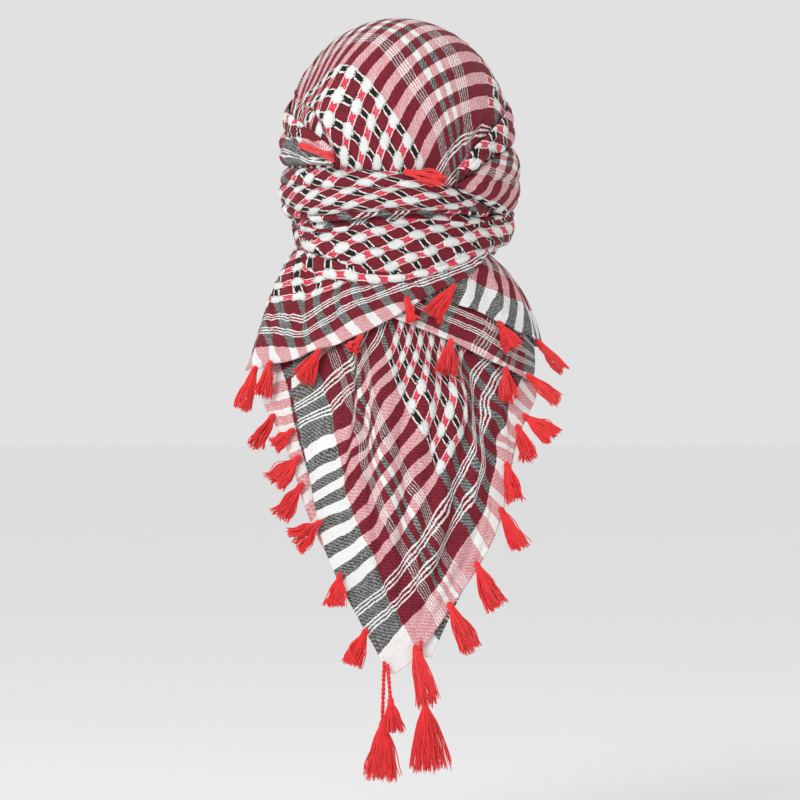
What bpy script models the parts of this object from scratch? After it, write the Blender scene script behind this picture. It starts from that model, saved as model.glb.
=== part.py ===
"""Keffiyeh wound round the head, its tail hanging down the back and tassels along its hems.

The cloth lies on a plain head, neck and shoulders, which are worked out here and not built. The wearer
faces +Y and +X is to the wearer's right. The origin is where the head's top carries the crown. Sizes are
in millimetres and azimuths in degrees round +Z: 0 at the back, 90 at the right side, 180 at the front.
Heights are measured up from the origin, so they are all negative.
"""

import bmesh
import bpy
import numpy as np
from mathutils import Vector
from mathutils.bvhtree import BVHTree

MM = 0.001
WALL = 1.6  # cloth wall
REST_GAP = 0.45  # between a tassel and the cloth that it lies on

# Head: a dome from the top down to its widest ring.
DOME_DROP = 95.0
DOME_WIDTH = 88.0  # half width
DOME_BACK = 104.0
DOME_FRONT = 98.0
DOME_ARC = DOME_DROP * np.pi / 2  # station of the widest ring

# Head, neck and shoulders below the widest ring: height, half width, back, front.
FIGURE = np.array(
    [
        (-95, 88, 104, 98),
        (-120, 87, 102, 98),
        (-140, 85, 96, 97),
        (-160, 78, 85, 95),
        (-175, 70, 76, 93),
        (-190, 69, 70, 89),
        (-205, 79, 67, 83),
        (-220, 87, 67, 75),
        (-240, 96, 70, 66),
        (-260, 104, 77, 64),
        (-280, 112, 86, 70),
        (-300, 125, 94, 80),
        (-340, 162, 104, 96),
        (-400, 195, 112, 108),
        (-460, 204, 117, 112),
        (-530, 206, 120, 114),
    ],
    float,
)

# Crown, the stretch over the top of the head: azimuth, height of its lower edge.
CROWN_EDGE = [(0, -152), (45, -158), (88, -158), (108, -126), (128, -98), (150, -76), (180, -64),
              (210, -76), (235, -98), (260, -122), (285, -138), (315, -148), (360, -152)]  # fmt: skip
# Its soft folds: azimuth at the lower edge, slant, half width, rise, how far up they reach as a share.
CROWN_FOLDS = [(38, 16, 7, 2.6, 0.50), (62, 14, 8, 2.2, 0.45), (292, -20, 8, 2.8, 0.50),
               (310, -18, 7, 2.6, 0.55), (325, -12, 6, 2.4, 0.45), (352, 10, 9, 1.6, 0.40),
               (14, 12, 9, 1.6, 0.40), (130, 8, 12, 1.6, 0.50), (228, -8, 12, 1.6, 0.50)]  # fmt: skip
# Where the crown goes under other cloth and lies flat: azimuth, height.
CROWN_SHOWN = [(0, -120), (20, -122), (30, -117), (40, -104), (52, -90), (68, -75), (90, -63),
               (112, -54), (140, -44), (180, -38), (220, -43), (248, -53), (270, -64), (285, -73),
               (302, -83), (315, -93), (326, -105), (335, -115), (360, -120)]  # fmt: skip

# Brow roll, the folded edge across the forehead to the tuck at the back: azimuth, creases.
BROW_ROLL = [
    (30, -125.5, -128.8, -132.0),
    (40, -109.0, -116.2, -123.4),
    (52, -94.2, -104.0, -112.3),
    (68, -79.7, -93.6, -105.4),
    (90, -68.0, -84.0, -99.0),
    (112, -59.0, -76.0, -92.0),
    (140, -49.0, -65.0, -81.0),
    (180, -43.0, -57.0, -71.0),
    (220, -48.0, -62.0, -76.0),
    (248, -58.0, -70.0, -82.0),
    (270, -69.0, -78.0, -87.0),
    (285, -77.0, -83.8, -90.6),
    (302, -86.7, -93.4, -99.8),
    (315, -96.8, -102.5, -108.2),
    (326, -109.3, -112.0, -114.8),
]
BROW_MIDDLE_LIFT = [(30, 3.4), (100, 3.4), (140, 5.6), (225, 5.6), (262, 3.4), (326, 3.4)]
BROW_LIFTS = (2.5, BROW_MIDDLE_LIFT, 2.5)
BROW_RISE = [(30, 2.4), (75, 2.0), (100, 1.6), (140, 4.6), (225, 4.6), (262, 1.6), (326, 2.2)]
BROW_RISES = (BROW_RISE, BROW_RISE)

# Tucked corner at the left: azimuth, creases.
CORNER_END = [
    (228, -88.0, -97.0, -106.0),
    (245, -86.0, -99.0, -112.0),
    (262, -88.6, -102.0, -115.2),
    (280, -93.2, -104.8, -116.4),
    (300, -103.0, -110.4, -118.0),
    (315, -112.4, -115.5, -118.6),
    (326, -118.3, -119.0, -119.8),
]
CORNER_LIFTS = (2.6, 4.6, 2.6)
CORNER_RISES = (2.8, 3.2)

# Upper wrap across the back: azimuth, creases.
UPPER_WRAP = [
    (-100, -120.3, -131.0, -142.5, -154.5),
    (-78, -120.3, -131.4, -142.5, -154.4),
    (-50, -122.6, -134.6, -147.0, -159.4),
    (-30, -124.2, -135.6, -147.1, -159.4),
    (0, -127.6, -136.9, -146.0, -155.3),
    (20, -133.8, -140.7, -147.6, -154.5),
    (31, -140.2, -145.0, -149.7, -154.5),
    (42, -145.8, -148.9, -152.1, -155.2),
    (53, -150.6, -152.4, -154.2, -156.0),
]
UPPER_LIFTS = (2.4, [(-100, 5.6), (-50, 7.4), (40, 7.4), (53, 5.8)], 7.4, 6.4)
UPPER_RISES = ([(-100, 2.0), (-60, 3.6), (53, 3.6)], [(-100, 2.0), (-60, 4.2), (53, 4.2)], 4.4)

# Right wrap, from the tuck round the right side: azimuth, creases.
RIGHT_WRAP = [
    (31, -135.4, -136.2, -137.0),
    (40, -127.2, -133.6, -142.0),
    (52, -116.2, -130.2, -147.4),
    (60, -111.6, -129.6, -151.8),
    (66, -108.6, -129.2, -153.6),
    (74, -106.0, -128.6, -152.4),
    (86, -103.2, -127.8, -149.2),
    (100, -101.5, -127.0, -148.0),
]
RIGHT_LIFTS = (2.6, 8.4, [(31, 5.4), (58, 5.4), (82, 8.4), (100, 9.0)])
RIGHT_RISES = (3.6, [(31, 4.0), (66, 3.4), (100, 2.0)])

# Lower wrap and the left flap below it: azimuth, creases of the slip of cloth at the top, of the main
# roll, of the waist and of the swell below it, and the hem.
LOWER_WRAP = [
    (-100, -156.5, -165.0, -179.5, -192.0, -279.0),
    (-88, -156.3, -164.6, -179.0, -191.5, -284.0),
    (-76, -156.7, -164.9, -181.0, -193.5, -285.0),
    (-64, -159.7, -167.1, -186.0, -199.0, -283.0),
    (-50, -162.2, -169.2, -192.6, -206.0, -278.5),
    (-37, -162.6, -169.3, -195.9, -210.0, -271.5),
    (-28, -162.0, -168.2, -198.1, -212.0, -266.0),
    (-19, -160.6, -167.0, -200.2, -213.0, -259.0),
    (-8, -158.6, -165.0, -202.2, -213.5, -248.0),
    (2, -157.3, -163.8, -202.2, -212.0, -237.0),
    (12, -156.9, -163.8, -201.0, -209.0, -225.0),
    (24, -157.0, -164.3, -198.0, -204.0, -216.0),
    (40, -158.4, -165.2, -191.5, -196.0, -205.8),
    (50, -159.2, -164.4, -186.5, -190.5, -199.0),
    (60, -158.0, -161.0, -183.0, -187.5, -194.0),
    (72, -154.8, -157.6, -181.0, -185.0, -190.5),
    (85, -151.4, -154.2, -180.5, -184.4, -189.0),
    (100, -150.2, -153.0, -180.5, -184.4, -189.0),
]
LOWER_TOP_LIFT = [(-100, 2.5), (46, 2.5), (66, 4.6), (84, 9.0), (100, 9.4)]
LOWER_CREASE_LIFT = [(-100, 6.4), (54, 6.4), (84, 10.4), (100, 10.6)]
LOWER_WAIST_LIFT = [(-100, 9.6), (-60, 10.0), (50, 10.4), (80, 9.0), (100, 9.0)]
LOWER_SWELL_LIFT = [(-100, 15.8), (-76, 14.5), (-50, 11.0), (50, 10.8), (80, 8.4), (100, 8.4)]
LOWER_HEM_LIFT = [(-100, 8.2), (-40, 8.6), (-4, 9.8), (12, 11.2), (56, 11.0), (80, 7.8), (100, 7.8)]
LOWER_LIFTS = (LOWER_TOP_LIFT, LOWER_CREASE_LIFT, LOWER_WAIST_LIFT, LOWER_SWELL_LIFT, LOWER_HEM_LIFT)
LOWER_ROLL_RISE = [(-100, 3.6), (-60, 5.6), (54, 5.6), (84, 7.0), (100, 7.0)]
LOWER_FLAP_RISE = [(-70, 0.0), (-20, 1.2), (20, 0.0)]
LOWER_RISES = (3.2, LOWER_ROLL_RISE, 0.8, LOWER_FLAP_RISE)
# Drape folds of a flap: azimuth at the top, azimuth at the hem, half width, rise.
LEFT_FLAP_FOLDS = [(-78, -72, 7, 2.4), (-56, -56, 8, 3.4), (-38, -34, 8, 3.4), (-16, -18, 6, 1.8)]

# Mask across the face, from the right side round the front to the left: azimuth, creases, bottom.
MASK = [
    (100.5, -101.8, -114.4, -127.0, -149.2, -181.0, -262.0),
    (120, -104.0, -116.5, -130.0, -152.0, -183.5, -263.0),
    (145, -110.0, -121.0, -134.0, -157.0, -188.5, -264.0),
    (165, -115.0, -126.0, -138.0, -161.0, -193.0, -265.0),
    (180, -117.0, -128.0, -140.0, -163.5, -195.5, -266.0),
    (195, -118.0, -129.0, -141.0, -163.5, -196.0, -268.0),
    (215, -119.0, -130.0, -141.5, -161.0, -194.0, -271.0),
    (240, -120.0, -131.0, -142.5, -158.0, -190.0, -276.0),
    (259.5, -120.3, -131.0, -142.5, -155.6, -188.0, -279.0),
]
MASK_LIFTS = (
    2.6,
    [(100, 9.8), (125, 8.0), (235, 7.4), (260, 5.6)],
    [(100, 8.4), (125, 7.4), (260, 7.4)],
    [(100, 9.2), (125, 7.0), (240, 5.8), (260, 5.4)],
    [(100, 1.0), (114, 1.2), (140, 7.0), (240, 9.0), (260, 10.0)],
    [(100, 1.0), (114, 1.0), (145, 4.0), (240, 7.4), (260, 8.6)],
)
MASK_RISES = (
    [(100, 1.0), (130, 3.4), (235, 3.4), (260, 2.0)],
    [(100, 1.2), (130, 3.8), (235, 3.8), (260, 2.0)],
    [(100, 3.0), (130, 4.6), (260, 4.4)],
    [(100, 8.0), (125, 6.0), (260, 5.8)],
    [(100, 0.0), (112, 0.0), (140, 3.0), (235, 3.0), (260, 2.4)],
)
MASK_FOLDS = [(132, 128, 9, 2.6), (158, 152, 9, 3.2), (184, 186, 10, 3.4), (210, 214, 9, 3.0),
              (236, 240, 9, 2.4)]  # fmt: skip

# Flaps at the right, under the lower wrap: azimuth, top, hem.
RIGHT_OVER = [
    (20, -209.0, -222.0),
    (27, -205.0, -230.0),
    (40, -197.8, -238.5),
    (50, -191.5, -248.0),
    (62, -187.5, -254.0),
    (75, -185.8, -259.5),
    (85, -185.4, -263.5),
    (94, -186.0, -264.0),
    (108, -192.0, -262.0),
]
RIGHT_OVER_TOP_LIFT = [(20, 8.8), (52, 8.4), (76, 3.0), (96, 3.2), (108, 4.4)]
RIGHT_OVER_HEM_LIFT = [(20, 8.8), (52, 9.0), (76, 7.8), (108, 6.0)]
RIGHT_OVER_LIFTS = (RIGHT_OVER_TOP_LIFT, RIGHT_OVER_HEM_LIFT)
RIGHT_OVER_RISES = ([(20, 0.0), (56, 0.6), (80, 5.0), (108, 3.6)],)
RIGHT_OVER_FOLDS = [(34, 33, 6, 1.6), (55, 52, 7, 2.4), (74, 70, 7, 2.4), (94, 92, 8, 2.4)]
RIGHT_UNDER = [
    (-8, -218.0, -237.0),
    (2, -214.0, -244.5),
    (13, -213.0, -253.5),
    (25, -215.0, -263.5),
    (34, -214.0, -272.5),
    (44, -212.0, -281.5),
    (52, -210.0, -289.0),
    (57, -209.0, -291.5),
    (63, -208.0, -285.0),
    (71, -207.0, -275.0),
    (80, -207.0, -264.5),
    (88, -207.0, -257.0),
    (99, -207.0, -254.0),
]
RIGHT_UNDER_TOP_LIFT = [(-8, 5.9), (50, 5.9), (72, 2.6), (99, 1.6)]
RIGHT_UNDER_HEM_LIFT = [(-8, 6.4), (57, 6.4), (80, 3.2), (99, 2.0)]
RIGHT_UNDER_LIFTS = (RIGHT_UNDER_TOP_LIFT, RIGHT_UNDER_HEM_LIFT)
RIGHT_UNDER_FOLDS = [(50, 46, 7, 0.8)]

# Tail, the square's corner that hangs down the back, two layers: height, left edge, right edge.
TAIL_OVER = [
    (-172, -54, 55),
    (-192, -51, 53),
    (-232, -61, 69),
    (-261, -77, 90),
    (-289, -82, 105),
    (-303, -81, 106),
    (-318, -78, 99),
    (-334, -75, 92),
    (-350, -71, 88),
    (-370, -67, 84),
    (-392, -63, 80),
    (-411, -59, 73),
    (-435, -50, 60),
    (-457, -39, 45),
    (-479, -27, 30),
    (-497, -17, 17),
    (-508, -12, 7),
    (-515, -9, -3),
]
TAIL_OVER_LIFT = 2.7
# Pleats: share across at the top and at the bottom, half width as a share, rise, height of the start.
TAIL_PLEATS = [(0.16, 0.30, 0.085, 4.5, -268), (0.34, 0.42, 0.090, 7.5, -256),
               (0.52, 0.55, 0.085, 6.5, -262), (0.69, 0.64, 0.090, 8.0, -278),
               (0.85, 0.80, 0.080, 5.5, -296)]  # fmt: skip
TAIL_FLAT_BELOW = -500
TAIL_UNDER = [
    (-216, -51, 55),
    (-251, -86, 75),
    (-285, -108, 86),
    (-306, -106, 86),
    (-329, -93, 82),
    (-359, -81, 77),
    (-385, -73, 71),
    (-398, -68, 68),
    (-435, -47, 57),
    (-464, -21, 43),
    (-487, 4, 32),
    (-503, 19, 25),
]
TAIL_UNDER_LIFT = 0.0

CLOTH_RED = (0.27, 0.018, 0.035, 1.0)
CLOTH_PALE = (0.62, 0.30, 0.32, 1.0)
TASSEL_RED = (0.82, 0.022, 0.030, 1.0)

# Tassels: name, root x and height, tip x and height, cord before the head, strands, spread at the tip.
TASSELS = [
    ("tuck_left", -77, -104, -47, -119, 0, 5, 3.0),
    ("tuck_mid", 5, -127, 38, -135, 0, 5, 3.0),
    ("left_hem_a", -62, -265, -76, -291, 0, 6, 7.0),
    ("left_hem_b", -29, -254, -38, -266, 0, 4, 4.0),
    ("left_corner_a", -101, -274, -106, -303, 0, 6, 7.0),
    ("left_corner_b", -113, -278, -125, -313, 0, 6, 5.0),
    ("under_left_a", -98, -316, -114, -341, 0, 6, 5.0),
    ("under_left_b", -82, -327, -98, -342, 0, 6, 5.0),
    ("under_left_c", -77, -348, -98, -370, 0, 6, 7.0),
    ("under_left_d", -75, -369, -94, -396, 0, 6, 7.0),
    ("tail_left_a", -60, -398, -83, -415, 0, 8, 9.0),
    ("tail_left_b", -45, -438, -50, -466, 0, 6, 6.5),
    ("tail_left_c", -25, -481, -37, -510, 0, 6, 6.0),
    ("tip_left_b", -11, -506, -13, -600, 48, 8, 9.5),
    ("tip_left_a", -8, -509, -3, -560, 28, 6, 5.5),
    ("tip_right_b", 17, -490, 24, -593, 52, 8, 10.0),
    ("tip_right_a", 13, -494, 25, -527, 0, 6, 6.0),
    ("tail_right_a", 39, -461, 57, -500, 0, 6, 6.5),
    ("tail_right_b", 60, -430, 77, -467, 0, 6, 6.5),
    ("tail_right_c", 79, -388, 95, -421, 0, 8, 6.5),
    ("tail_right_d", 84, -353, 90, -385, 0, 6, 4.5),
    ("tail_right_e", 93, -324, 101, -352, 0, 6, 6.0),
    ("tail_right_f", 98, -316, 122, -336, 0, 6, 7.0),
    ("right_hem_a", 41, -257, 36, -285, 0, 8, 7.5),
    ("right_hem_b", 84, -279, 86, -307, 0, 6, 5.5),
    ("right_hem_c", 101, -284, 128, -307, 0, 5, 3.5),
    ("right_over_a", 79, -243, 92, -265, 0, 6, 6.0),
    ("right_over_b", 44, -214, 24, -241, 0, 6, 6.0),
    ("right_over_c", 110, -257, 133, -283, 0, 5, 2.5),
    ("centre", 6, -224, 11, -244, 0, 4, 3.0),
]
HEAD_RADIUS = 2.2
HEAD_LENGTH = 6.0
CORD_RADIUS = 1.5
STRAND_RADIUS = 1.4
# Strands: share of the length and of the flare at each ring, and how far they fan out.
STRAND_RINGS = [(0.30, 0.62), (1.0, 1.0)]
UNEVEN_LENGTH = 0.07
SPREAD_GAIN = 1.35
DEPTH_GAIN = 0.9


def smooth(knots, values, at):
    """Values read from a curve without corners through the knots."""
    knots, values, at = (np.asarray(x, float) for x in (knots, values, at))
    slopes = np.gradient(values, knots)
    k = np.clip(np.searchsorted(knots, at) - 1, 0, len(knots) - 2)
    span = knots[k + 1] - knots[k]
    t = np.clip((at - knots[k]) / span, 0, 1)
    start = (1 + 2 * t) * (1 - t) ** 2 * values[k] + t * (1 - t) ** 2 * span * slopes[k]
    end = t * t * (3 - 2 * t) * values[k + 1] - t * t * (1 - t) * span * slopes[k + 1]
    return start + end


def along(values, azimuth):
    """A value that is one number all round, or is read from pairs of azimuth and value."""
    return values if np.isscalar(values) else smooth(*zip(*values), azimuth)


def bell(distance, half_width):
    """1 at the middle of a fold, falling smoothly to 0 at its half width."""
    t = np.clip(np.abs(distance) / half_width, 0, 1)
    return (1 - t * t) ** 2


def ease(t):
    t = np.clip(t, 0, 1)
    return t * t * (3 - 2 * t)


def arch(t):
    """The section of a roll of cloth, steep beside its creases."""
    return np.sin(np.pi * np.clip(t, 0, 1)) ** 0.8


def figure(azimuth, station):
    """Points on the figure. A station is the distance down the meridian from the top."""
    angle = np.clip(station / DOME_ARC, 0, 1) * np.pi / 2
    below = np.maximum(station - DOME_ARC, 0)
    z = -DOME_DROP * (1 - np.cos(angle)) - below
    lower = [smooth(-FIGURE[:, 0], FIGURE[:, c], -z) for c in (1, 2, 3)]
    dome = [size * np.sin(angle) for size in (DOME_WIDTH, DOME_BACK, DOME_FRONT)]
    half, back, front = (np.where(below > 0, low, top) for low, top in zip(lower, dome))
    turn = np.radians(azimuth)
    depth = np.where(np.cos(turn) > 0, back, front)
    return np.stack([half * np.sin(turn), -depth * np.cos(turn), z], axis=-1)


def station_of(z):
    z = np.asarray(z, float)
    on_dome = DOME_ARC * np.arccos(np.clip(1 + z / DOME_DROP, -1, 1)) / (np.pi / 2)
    return np.where(z > -DOME_DROP, on_dome, DOME_ARC - DOME_DROP - z)


def lifted(azimuth, z, lift):
    """Points that lie a lift above the figure, along its outward normal."""
    azimuth, z, lift = np.broadcast_arrays(*(np.asarray(x, float) for x in (azimuth, z, lift)))
    station = station_of(z)
    around = figure(azimuth + 0.5, station) - figure(azimuth - 0.5, station)
    down = figure(azimuth, station + 0.5) - figure(azimuth, np.maximum(station - 0.5, 0))
    normal = np.cross(down, around)
    length = np.linalg.norm(normal, axis=-1, keepdims=True)
    normal = np.where(length > 1e-6, normal / np.maximum(length, 1e-6), (0.0, 0.0, 1.0))
    return figure(azimuth, station) + normal * lift[..., None]


def crown_grid(rows, columns):
    azimuth = np.linspace(0, 360, columns, endpoint=False)[None, :]
    edge = smooth(*zip(*CROWN_EDGE), azimuth)
    share = np.linspace(0, 1, rows)[:, None]
    station = station_of(edge) * share
    z = figure(azimuth, station)[..., 2]
    lift = np.zeros_like(z)
    for at, slant, width, rise, reach in CROWN_FOLDS:
        away = (azimuth - at - slant * (1 - share) + 180) % 360 - 180
        lift += rise * bell(away, width * (0.6 + 0.8 * (1 - share))) * ease((share - 1 + reach) / 0.25)
    lift *= ease((z - smooth(*zip(*CROWN_SHOWN), azimuth)) / 12)
    return lifted(azimuth, z, lift)


def wound_grid(sections, lifts, rises, rows_per_fold, columns, drapes=()):
    """A stretch wound round the figure: between two creases the cloth rises in a roll."""
    table = np.array(sections, float)
    azimuth = np.linspace(table[0, 0], table[-1, 0], columns)
    creases = [smooth(table[:, 0], table[:, c], azimuth) for c in range(1, table.shape[1])]
    lifts = [along(lift, azimuth) for lift in lifts]
    points = []
    last = len(rises) - 1
    for fold, (rise, count) in enumerate(zip(rises, rows_per_fold)):
        top, bottom = creases[fold], creases[fold + 1]
        full = np.minimum(along(rise, azimuth), 0.36 * (top - bottom))
        for step in range(count + (fold == last)):
            t = step / count
            z = top + (bottom - top) * t
            lift = lifts[fold] + (lifts[fold + 1] - lifts[fold]) * t + full * arch(t)
            if fold == last:
                lift += draped(azimuth, t, drapes)
            points.append(lifted(azimuth, z, lift))
    return np.array(points)


def draped(azimuth, t, folds):
    """The rise of drape folds that open towards the hem."""
    total = np.zeros_like(azimuth)
    for at_top, at_hem, width, rise in folds:
        middle = at_top + (at_hem - at_top) * t
        total += rise * ease(t / 0.7) * bell(azimuth - middle, width)
    return total


def tail_grid(sections, base, pleats, rows, columns):
    """A layer of the tail, with pleats that run down it."""
    table = np.array(sections, float)
    z = np.linspace(table[0, 0], table[-1, 0], rows)
    left, right = (smooth(-table[:, 0], table[:, c], -z) for c in (1, 2))
    share = np.linspace(0, 1, columns)[None, :]
    x = left[:, None] + (right - left)[:, None] * share
    half = smooth(-FIGURE[:, 0], FIGURE[:, 1], -z)[:, None]
    azimuth = np.degrees(np.arcsin(np.clip(x / half, -0.98, 0.98)))
    lift = np.full_like(x, base)
    drop = (z[:, None] - z[0]) / (z[-1] - z[0])
    for at_top, at_bottom, width, rise, start in pleats:
        middle = at_top + (at_bottom - at_top) * drop
        depth = rise * ease((start - z[:, None]) / 40) * ease((z[:, None] - TAIL_FLAT_BELOW) / 90)
        lift = lift + depth * bell(share - middle, width)
    return lifted(azimuth, z[:, None], lift)


def fabric(name, colour, roughness):
    made = bpy.data.materials.new(name)
    made.diffuse_color = colour
    made.use_nodes = True
    shader = made.node_tree.nodes["Principled BSDF"]
    shader.inputs["Base Color"].default_value = colour
    shader.inputs["Roughness"].default_value = roughness
    shader.inputs["Metallic"].default_value = 0.0
    return made


def add_object(name, bm, material, smooth_angle):
    mesh = bpy.data.meshes.new(name)
    bm.to_mesh(mesh)
    bm.free()
    mesh.materials.append(material)
    mesh.shade_smooth()
    mesh.set_sharp_from_angle(angle=np.radians(smooth_angle))
    made = bpy.data.objects.new(name, mesh)
    bpy.context.scene.collection.objects.link(made)
    return made


def add_cloth(name, grid, material, round_the_head=False):
    """One stretch of cloth: its inner face as a grid of quads, thickened outwards into a wall."""
    bm = bmesh.new()
    rows, columns = grid.shape[:2]
    verts = [[bm.verts.new(Vector(p * MM)) for p in row] for row in grid]
    for i in range(rows - 1):
        for j in range(columns if round_the_head else columns - 1):
            k = (j + 1) % columns
            bm.faces.new((verts[i][j], verts[i + 1][j], verts[i + 1][k], verts[i][k]))
    if round_the_head:  # the first row is one point, the crown's top
        bmesh.ops.remove_doubles(bm, verts=verts[0], dist=0.01 * MM)
    made = add_object(name, bm, material, 80)
    wall = made.modifiers.new("wall", "SOLIDIFY")
    wall.thickness = WALL * MM
    wall.offset = 1.0
    return made


def tree_of(made):
    return BVHTree.FromObject(made, bpy.context.evaluated_depsgraph_get())


def surface_at(x, z, trees):
    """The y of the outermost cloth behind a point of the back view, or None beside the cloth."""
    start = Vector((x * MM, -0.4, z * MM))
    hits = [tree.ray_cast(start, Vector((0, 1, 0)), 0.4)[0] for tree in trees]
    found = [hit.y / MM for hit in hits if hit is not None]
    return min(found) if found else None


def resting_y(x, z, radius, trees):
    """The y at which a ball of this radius, moved in from behind, lies a rest gap off the cloth."""
    y = surface_at(x, z, trees) - 4 * radius
    for _ in range(24):
        centre = Vector((x, y, z)) * MM
        room = min(tree.find_nearest(centre)[3] for tree in trees) / MM - radius - REST_GAP
        y += room
    return y


def hanging_line(root, tip, radius, spread, trees):
    """Start and end of a tassel's line: its root on the cloth, the rest clear of all that lies under it."""
    run = tip - root
    across = np.array([-run[1], run[0]]) / np.linalg.norm(run)
    start_y = resting_y(root[0], root[1], radius, trees)
    slope = 0.0
    for share in np.linspace(0.1, 1.04, 14):
        room = radius + REST_GAP + 1.4 * share
        for side in (-1, -0.5, 0, 0.5, 1):
            hit = surface_at(*(root + run * share + across * (radius + spread * share) * side), trees)
            if hit is not None:
                slope = min(slope, (hit - room - start_y) / share)
    return np.array([root[0], start_y, root[1]]), np.array([tip[0], start_y + slope, tip[1]])


def settle(bm, trees):
    """Moves a tassel in along +Y until its nearest edge is a rest gap off what lies under it."""
    for _ in range(8):
        points = [e.verts[0].co.lerp(e.verts[1].co, t) for e in bm.edges for t in (0, 0.2, 0.4, 0.6, 0.8)]
        near = [tree.find_nearest(point, 6 * MM)[3] for tree in trees for point in points]
        room = min((gap for gap in near if gap is not None), default=6 * MM) - REST_GAP * MM
        bmesh.ops.translate(bm, verts=bm.verts, vec=(0, room, 0))


def add_tassel(name, root, tip, cord, strands, spread, trees, material):
    """A wound head with its strands fused to it, after a length of cord where it has one."""
    start, end = hanging_line(root, tip, CORD_RADIUS if cord else HEAD_RADIUS, spread, trees)
    along = (end - start) / np.linalg.norm(end - start)
    side = np.cross(along, (0.0, 1.0, 0.0))
    side /= np.linalg.norm(side)
    face = np.cross(side, along)
    turns = np.arange(strands) * 2 * np.pi / strands
    circle = np.cos(turns)[:, None] * side + np.sin(turns)[:, None] * face

    bm = bmesh.new()
    head_at = start + along * cord
    if cord:
        rings = [(start, CORD_RADIUS), (head_at - along * 0.5, CORD_RADIUS)]
    else:
        rings = [(start, HEAD_RADIUS * 0.9)]
    rings.append((head_at + along * HEAD_LENGTH * 0.35, HEAD_RADIUS))
    rings.append((head_at + along * HEAD_LENGTH, HEAD_RADIUS))
    loops = []
    for centre, radius in rings:
        loops.append([bm.verts.new(Vector((centre + radius * spoke) * MM)) for spoke in circle])
    for upper, lower in zip(loops, loops[1:]):
        for j in range(strands):
            k = (j + 1) % strands
            bm.faces.new((upper[j], lower[j], lower[k], upper[k]))
    bm.faces.new(loops[0])
    base = bm.faces.new(loops[-1][::-1])
    roots = bmesh.ops.poke(bm, faces=[base])["faces"]
    bmesh.ops.inset_individual(bm, faces=roots, thickness=0.16 * MM, use_even_offset=True)
    bmesh.ops.recalc_face_normals(bm, faces=bm.faces)

    length = np.linalg.norm(end - start) - cord - HEAD_LENGTH
    for number, root_face in enumerate(roots):
        centre = np.array(root_face.calc_center_median()) / MM
        away = centre - (head_at + along * HEAD_LENGTH)
        wide, deep = away @ side, away @ face
        uneven = 1 - UNEVEN_LENGTH * ((number * 3) % 5) / 4
        for share, flare in STRAND_RINGS:
            grown = bmesh.ops.extrude_discrete_faces(bm, faces=[root_face])["faces"][0]
            target = head_at + along * (HEAD_LENGTH + length * share * uneven)
            target = target + side * wide * (1 + flare * (spread / HEAD_RADIUS) * SPREAD_GAIN)
            target = target + face * deep * (1 + flare * DEPTH_GAIN)
            middle = grown.calc_center_median()
            size = max(np.linalg.norm(np.array(v.co - middle)) for v in grown.verts) / MM
            scale = STRAND_RADIUS / size
            for v in grown.verts:
                offset = v.co - middle
                v.co = Vector(target * MM) + offset * scale
            root_face = grown
    settle(bm, trees)
    return add_object(name, bm, material, 60)


def main():
    for old in list(bpy.data.objects):
        bpy.data.objects.remove(old)
    cloth = fabric("checked_cotton", CLOTH_RED, 0.9)
    pale = fabric("checked_cotton_pale", CLOTH_PALE, 0.9)
    yarn = fabric("red_yarn", TASSEL_RED, 0.75)

    sheets = [
        add_cloth("crown", crown_grid(12, 38), cloth, round_the_head=True),
        add_cloth("brow_roll", wound_grid(BROW_ROLL, BROW_LIFTS, BROW_RISES, (3, 3), 32), pale),
        add_cloth("corner_end", wound_grid(CORNER_END, CORNER_LIFTS, CORNER_RISES, (2, 3), 11), cloth),
        add_cloth("upper_wrap", wound_grid(UPPER_WRAP, UPPER_LIFTS, UPPER_RISES, (3, 3, 3), 24), cloth),
        add_cloth("right_wrap", wound_grid(RIGHT_WRAP, RIGHT_LIFTS, RIGHT_RISES, (4, 4), 12), pale),
        add_cloth(
            "lower_wrap",
            wound_grid(LOWER_WRAP, LOWER_LIFTS, LOWER_RISES, (2, 4, 1, 6), 34, LEFT_FLAP_FOLDS),
            cloth,
        ),
        add_cloth("mask", wound_grid(MASK, MASK_LIFTS, MASK_RISES, (2, 2, 3, 4, 7), 24, MASK_FOLDS), pale),
        add_cloth(
            "right_flap_over",
            wound_grid(RIGHT_OVER, RIGHT_OVER_LIFTS, RIGHT_OVER_RISES, (7,), 15, RIGHT_OVER_FOLDS),
            cloth,
        ),
        add_cloth(
            "right_flap_under",
            wound_grid(RIGHT_UNDER, RIGHT_UNDER_LIFTS, (0.0,), (7,), 16, RIGHT_UNDER_FOLDS),
            pale,
        ),
        add_cloth("tail_over", tail_grid(TAIL_OVER, TAIL_OVER_LIFT, TAIL_PLEATS, 20, 20), cloth),
        add_cloth("tail_under", tail_grid(TAIL_UNDER, TAIL_UNDER_LIFT, (), 14, 9), pale),
    ]
    trees = [tree_of(sheet) for sheet in sheets]
    for name, root_x, root_z, tip_x, tip_z, cord, strands, spread in TASSELS:
        root, tip = np.array([root_x, root_z], float), np.array([tip_x, tip_z], float)
        made = add_tassel("tassel_" + name, root, tip, cord, strands, spread, trees, yarn)
        trees.append(tree_of(made))


main()
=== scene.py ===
"""Looks of the keffiyeh: its folds, woven check, hems and yarn tassels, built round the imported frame.

The frame is in metres. The tables here are in millimetres and degrees: azimuths run round +Z from 0 at the
back through 90 at the right side to 180 at the front, and heights are measured up from the top of the head,
so they are negative.
"""

from collections import namedtuple
from functools import partial

import bpy
import numpy as np
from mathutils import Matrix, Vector
from mathutils.bvhtree import BVHTree


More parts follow.
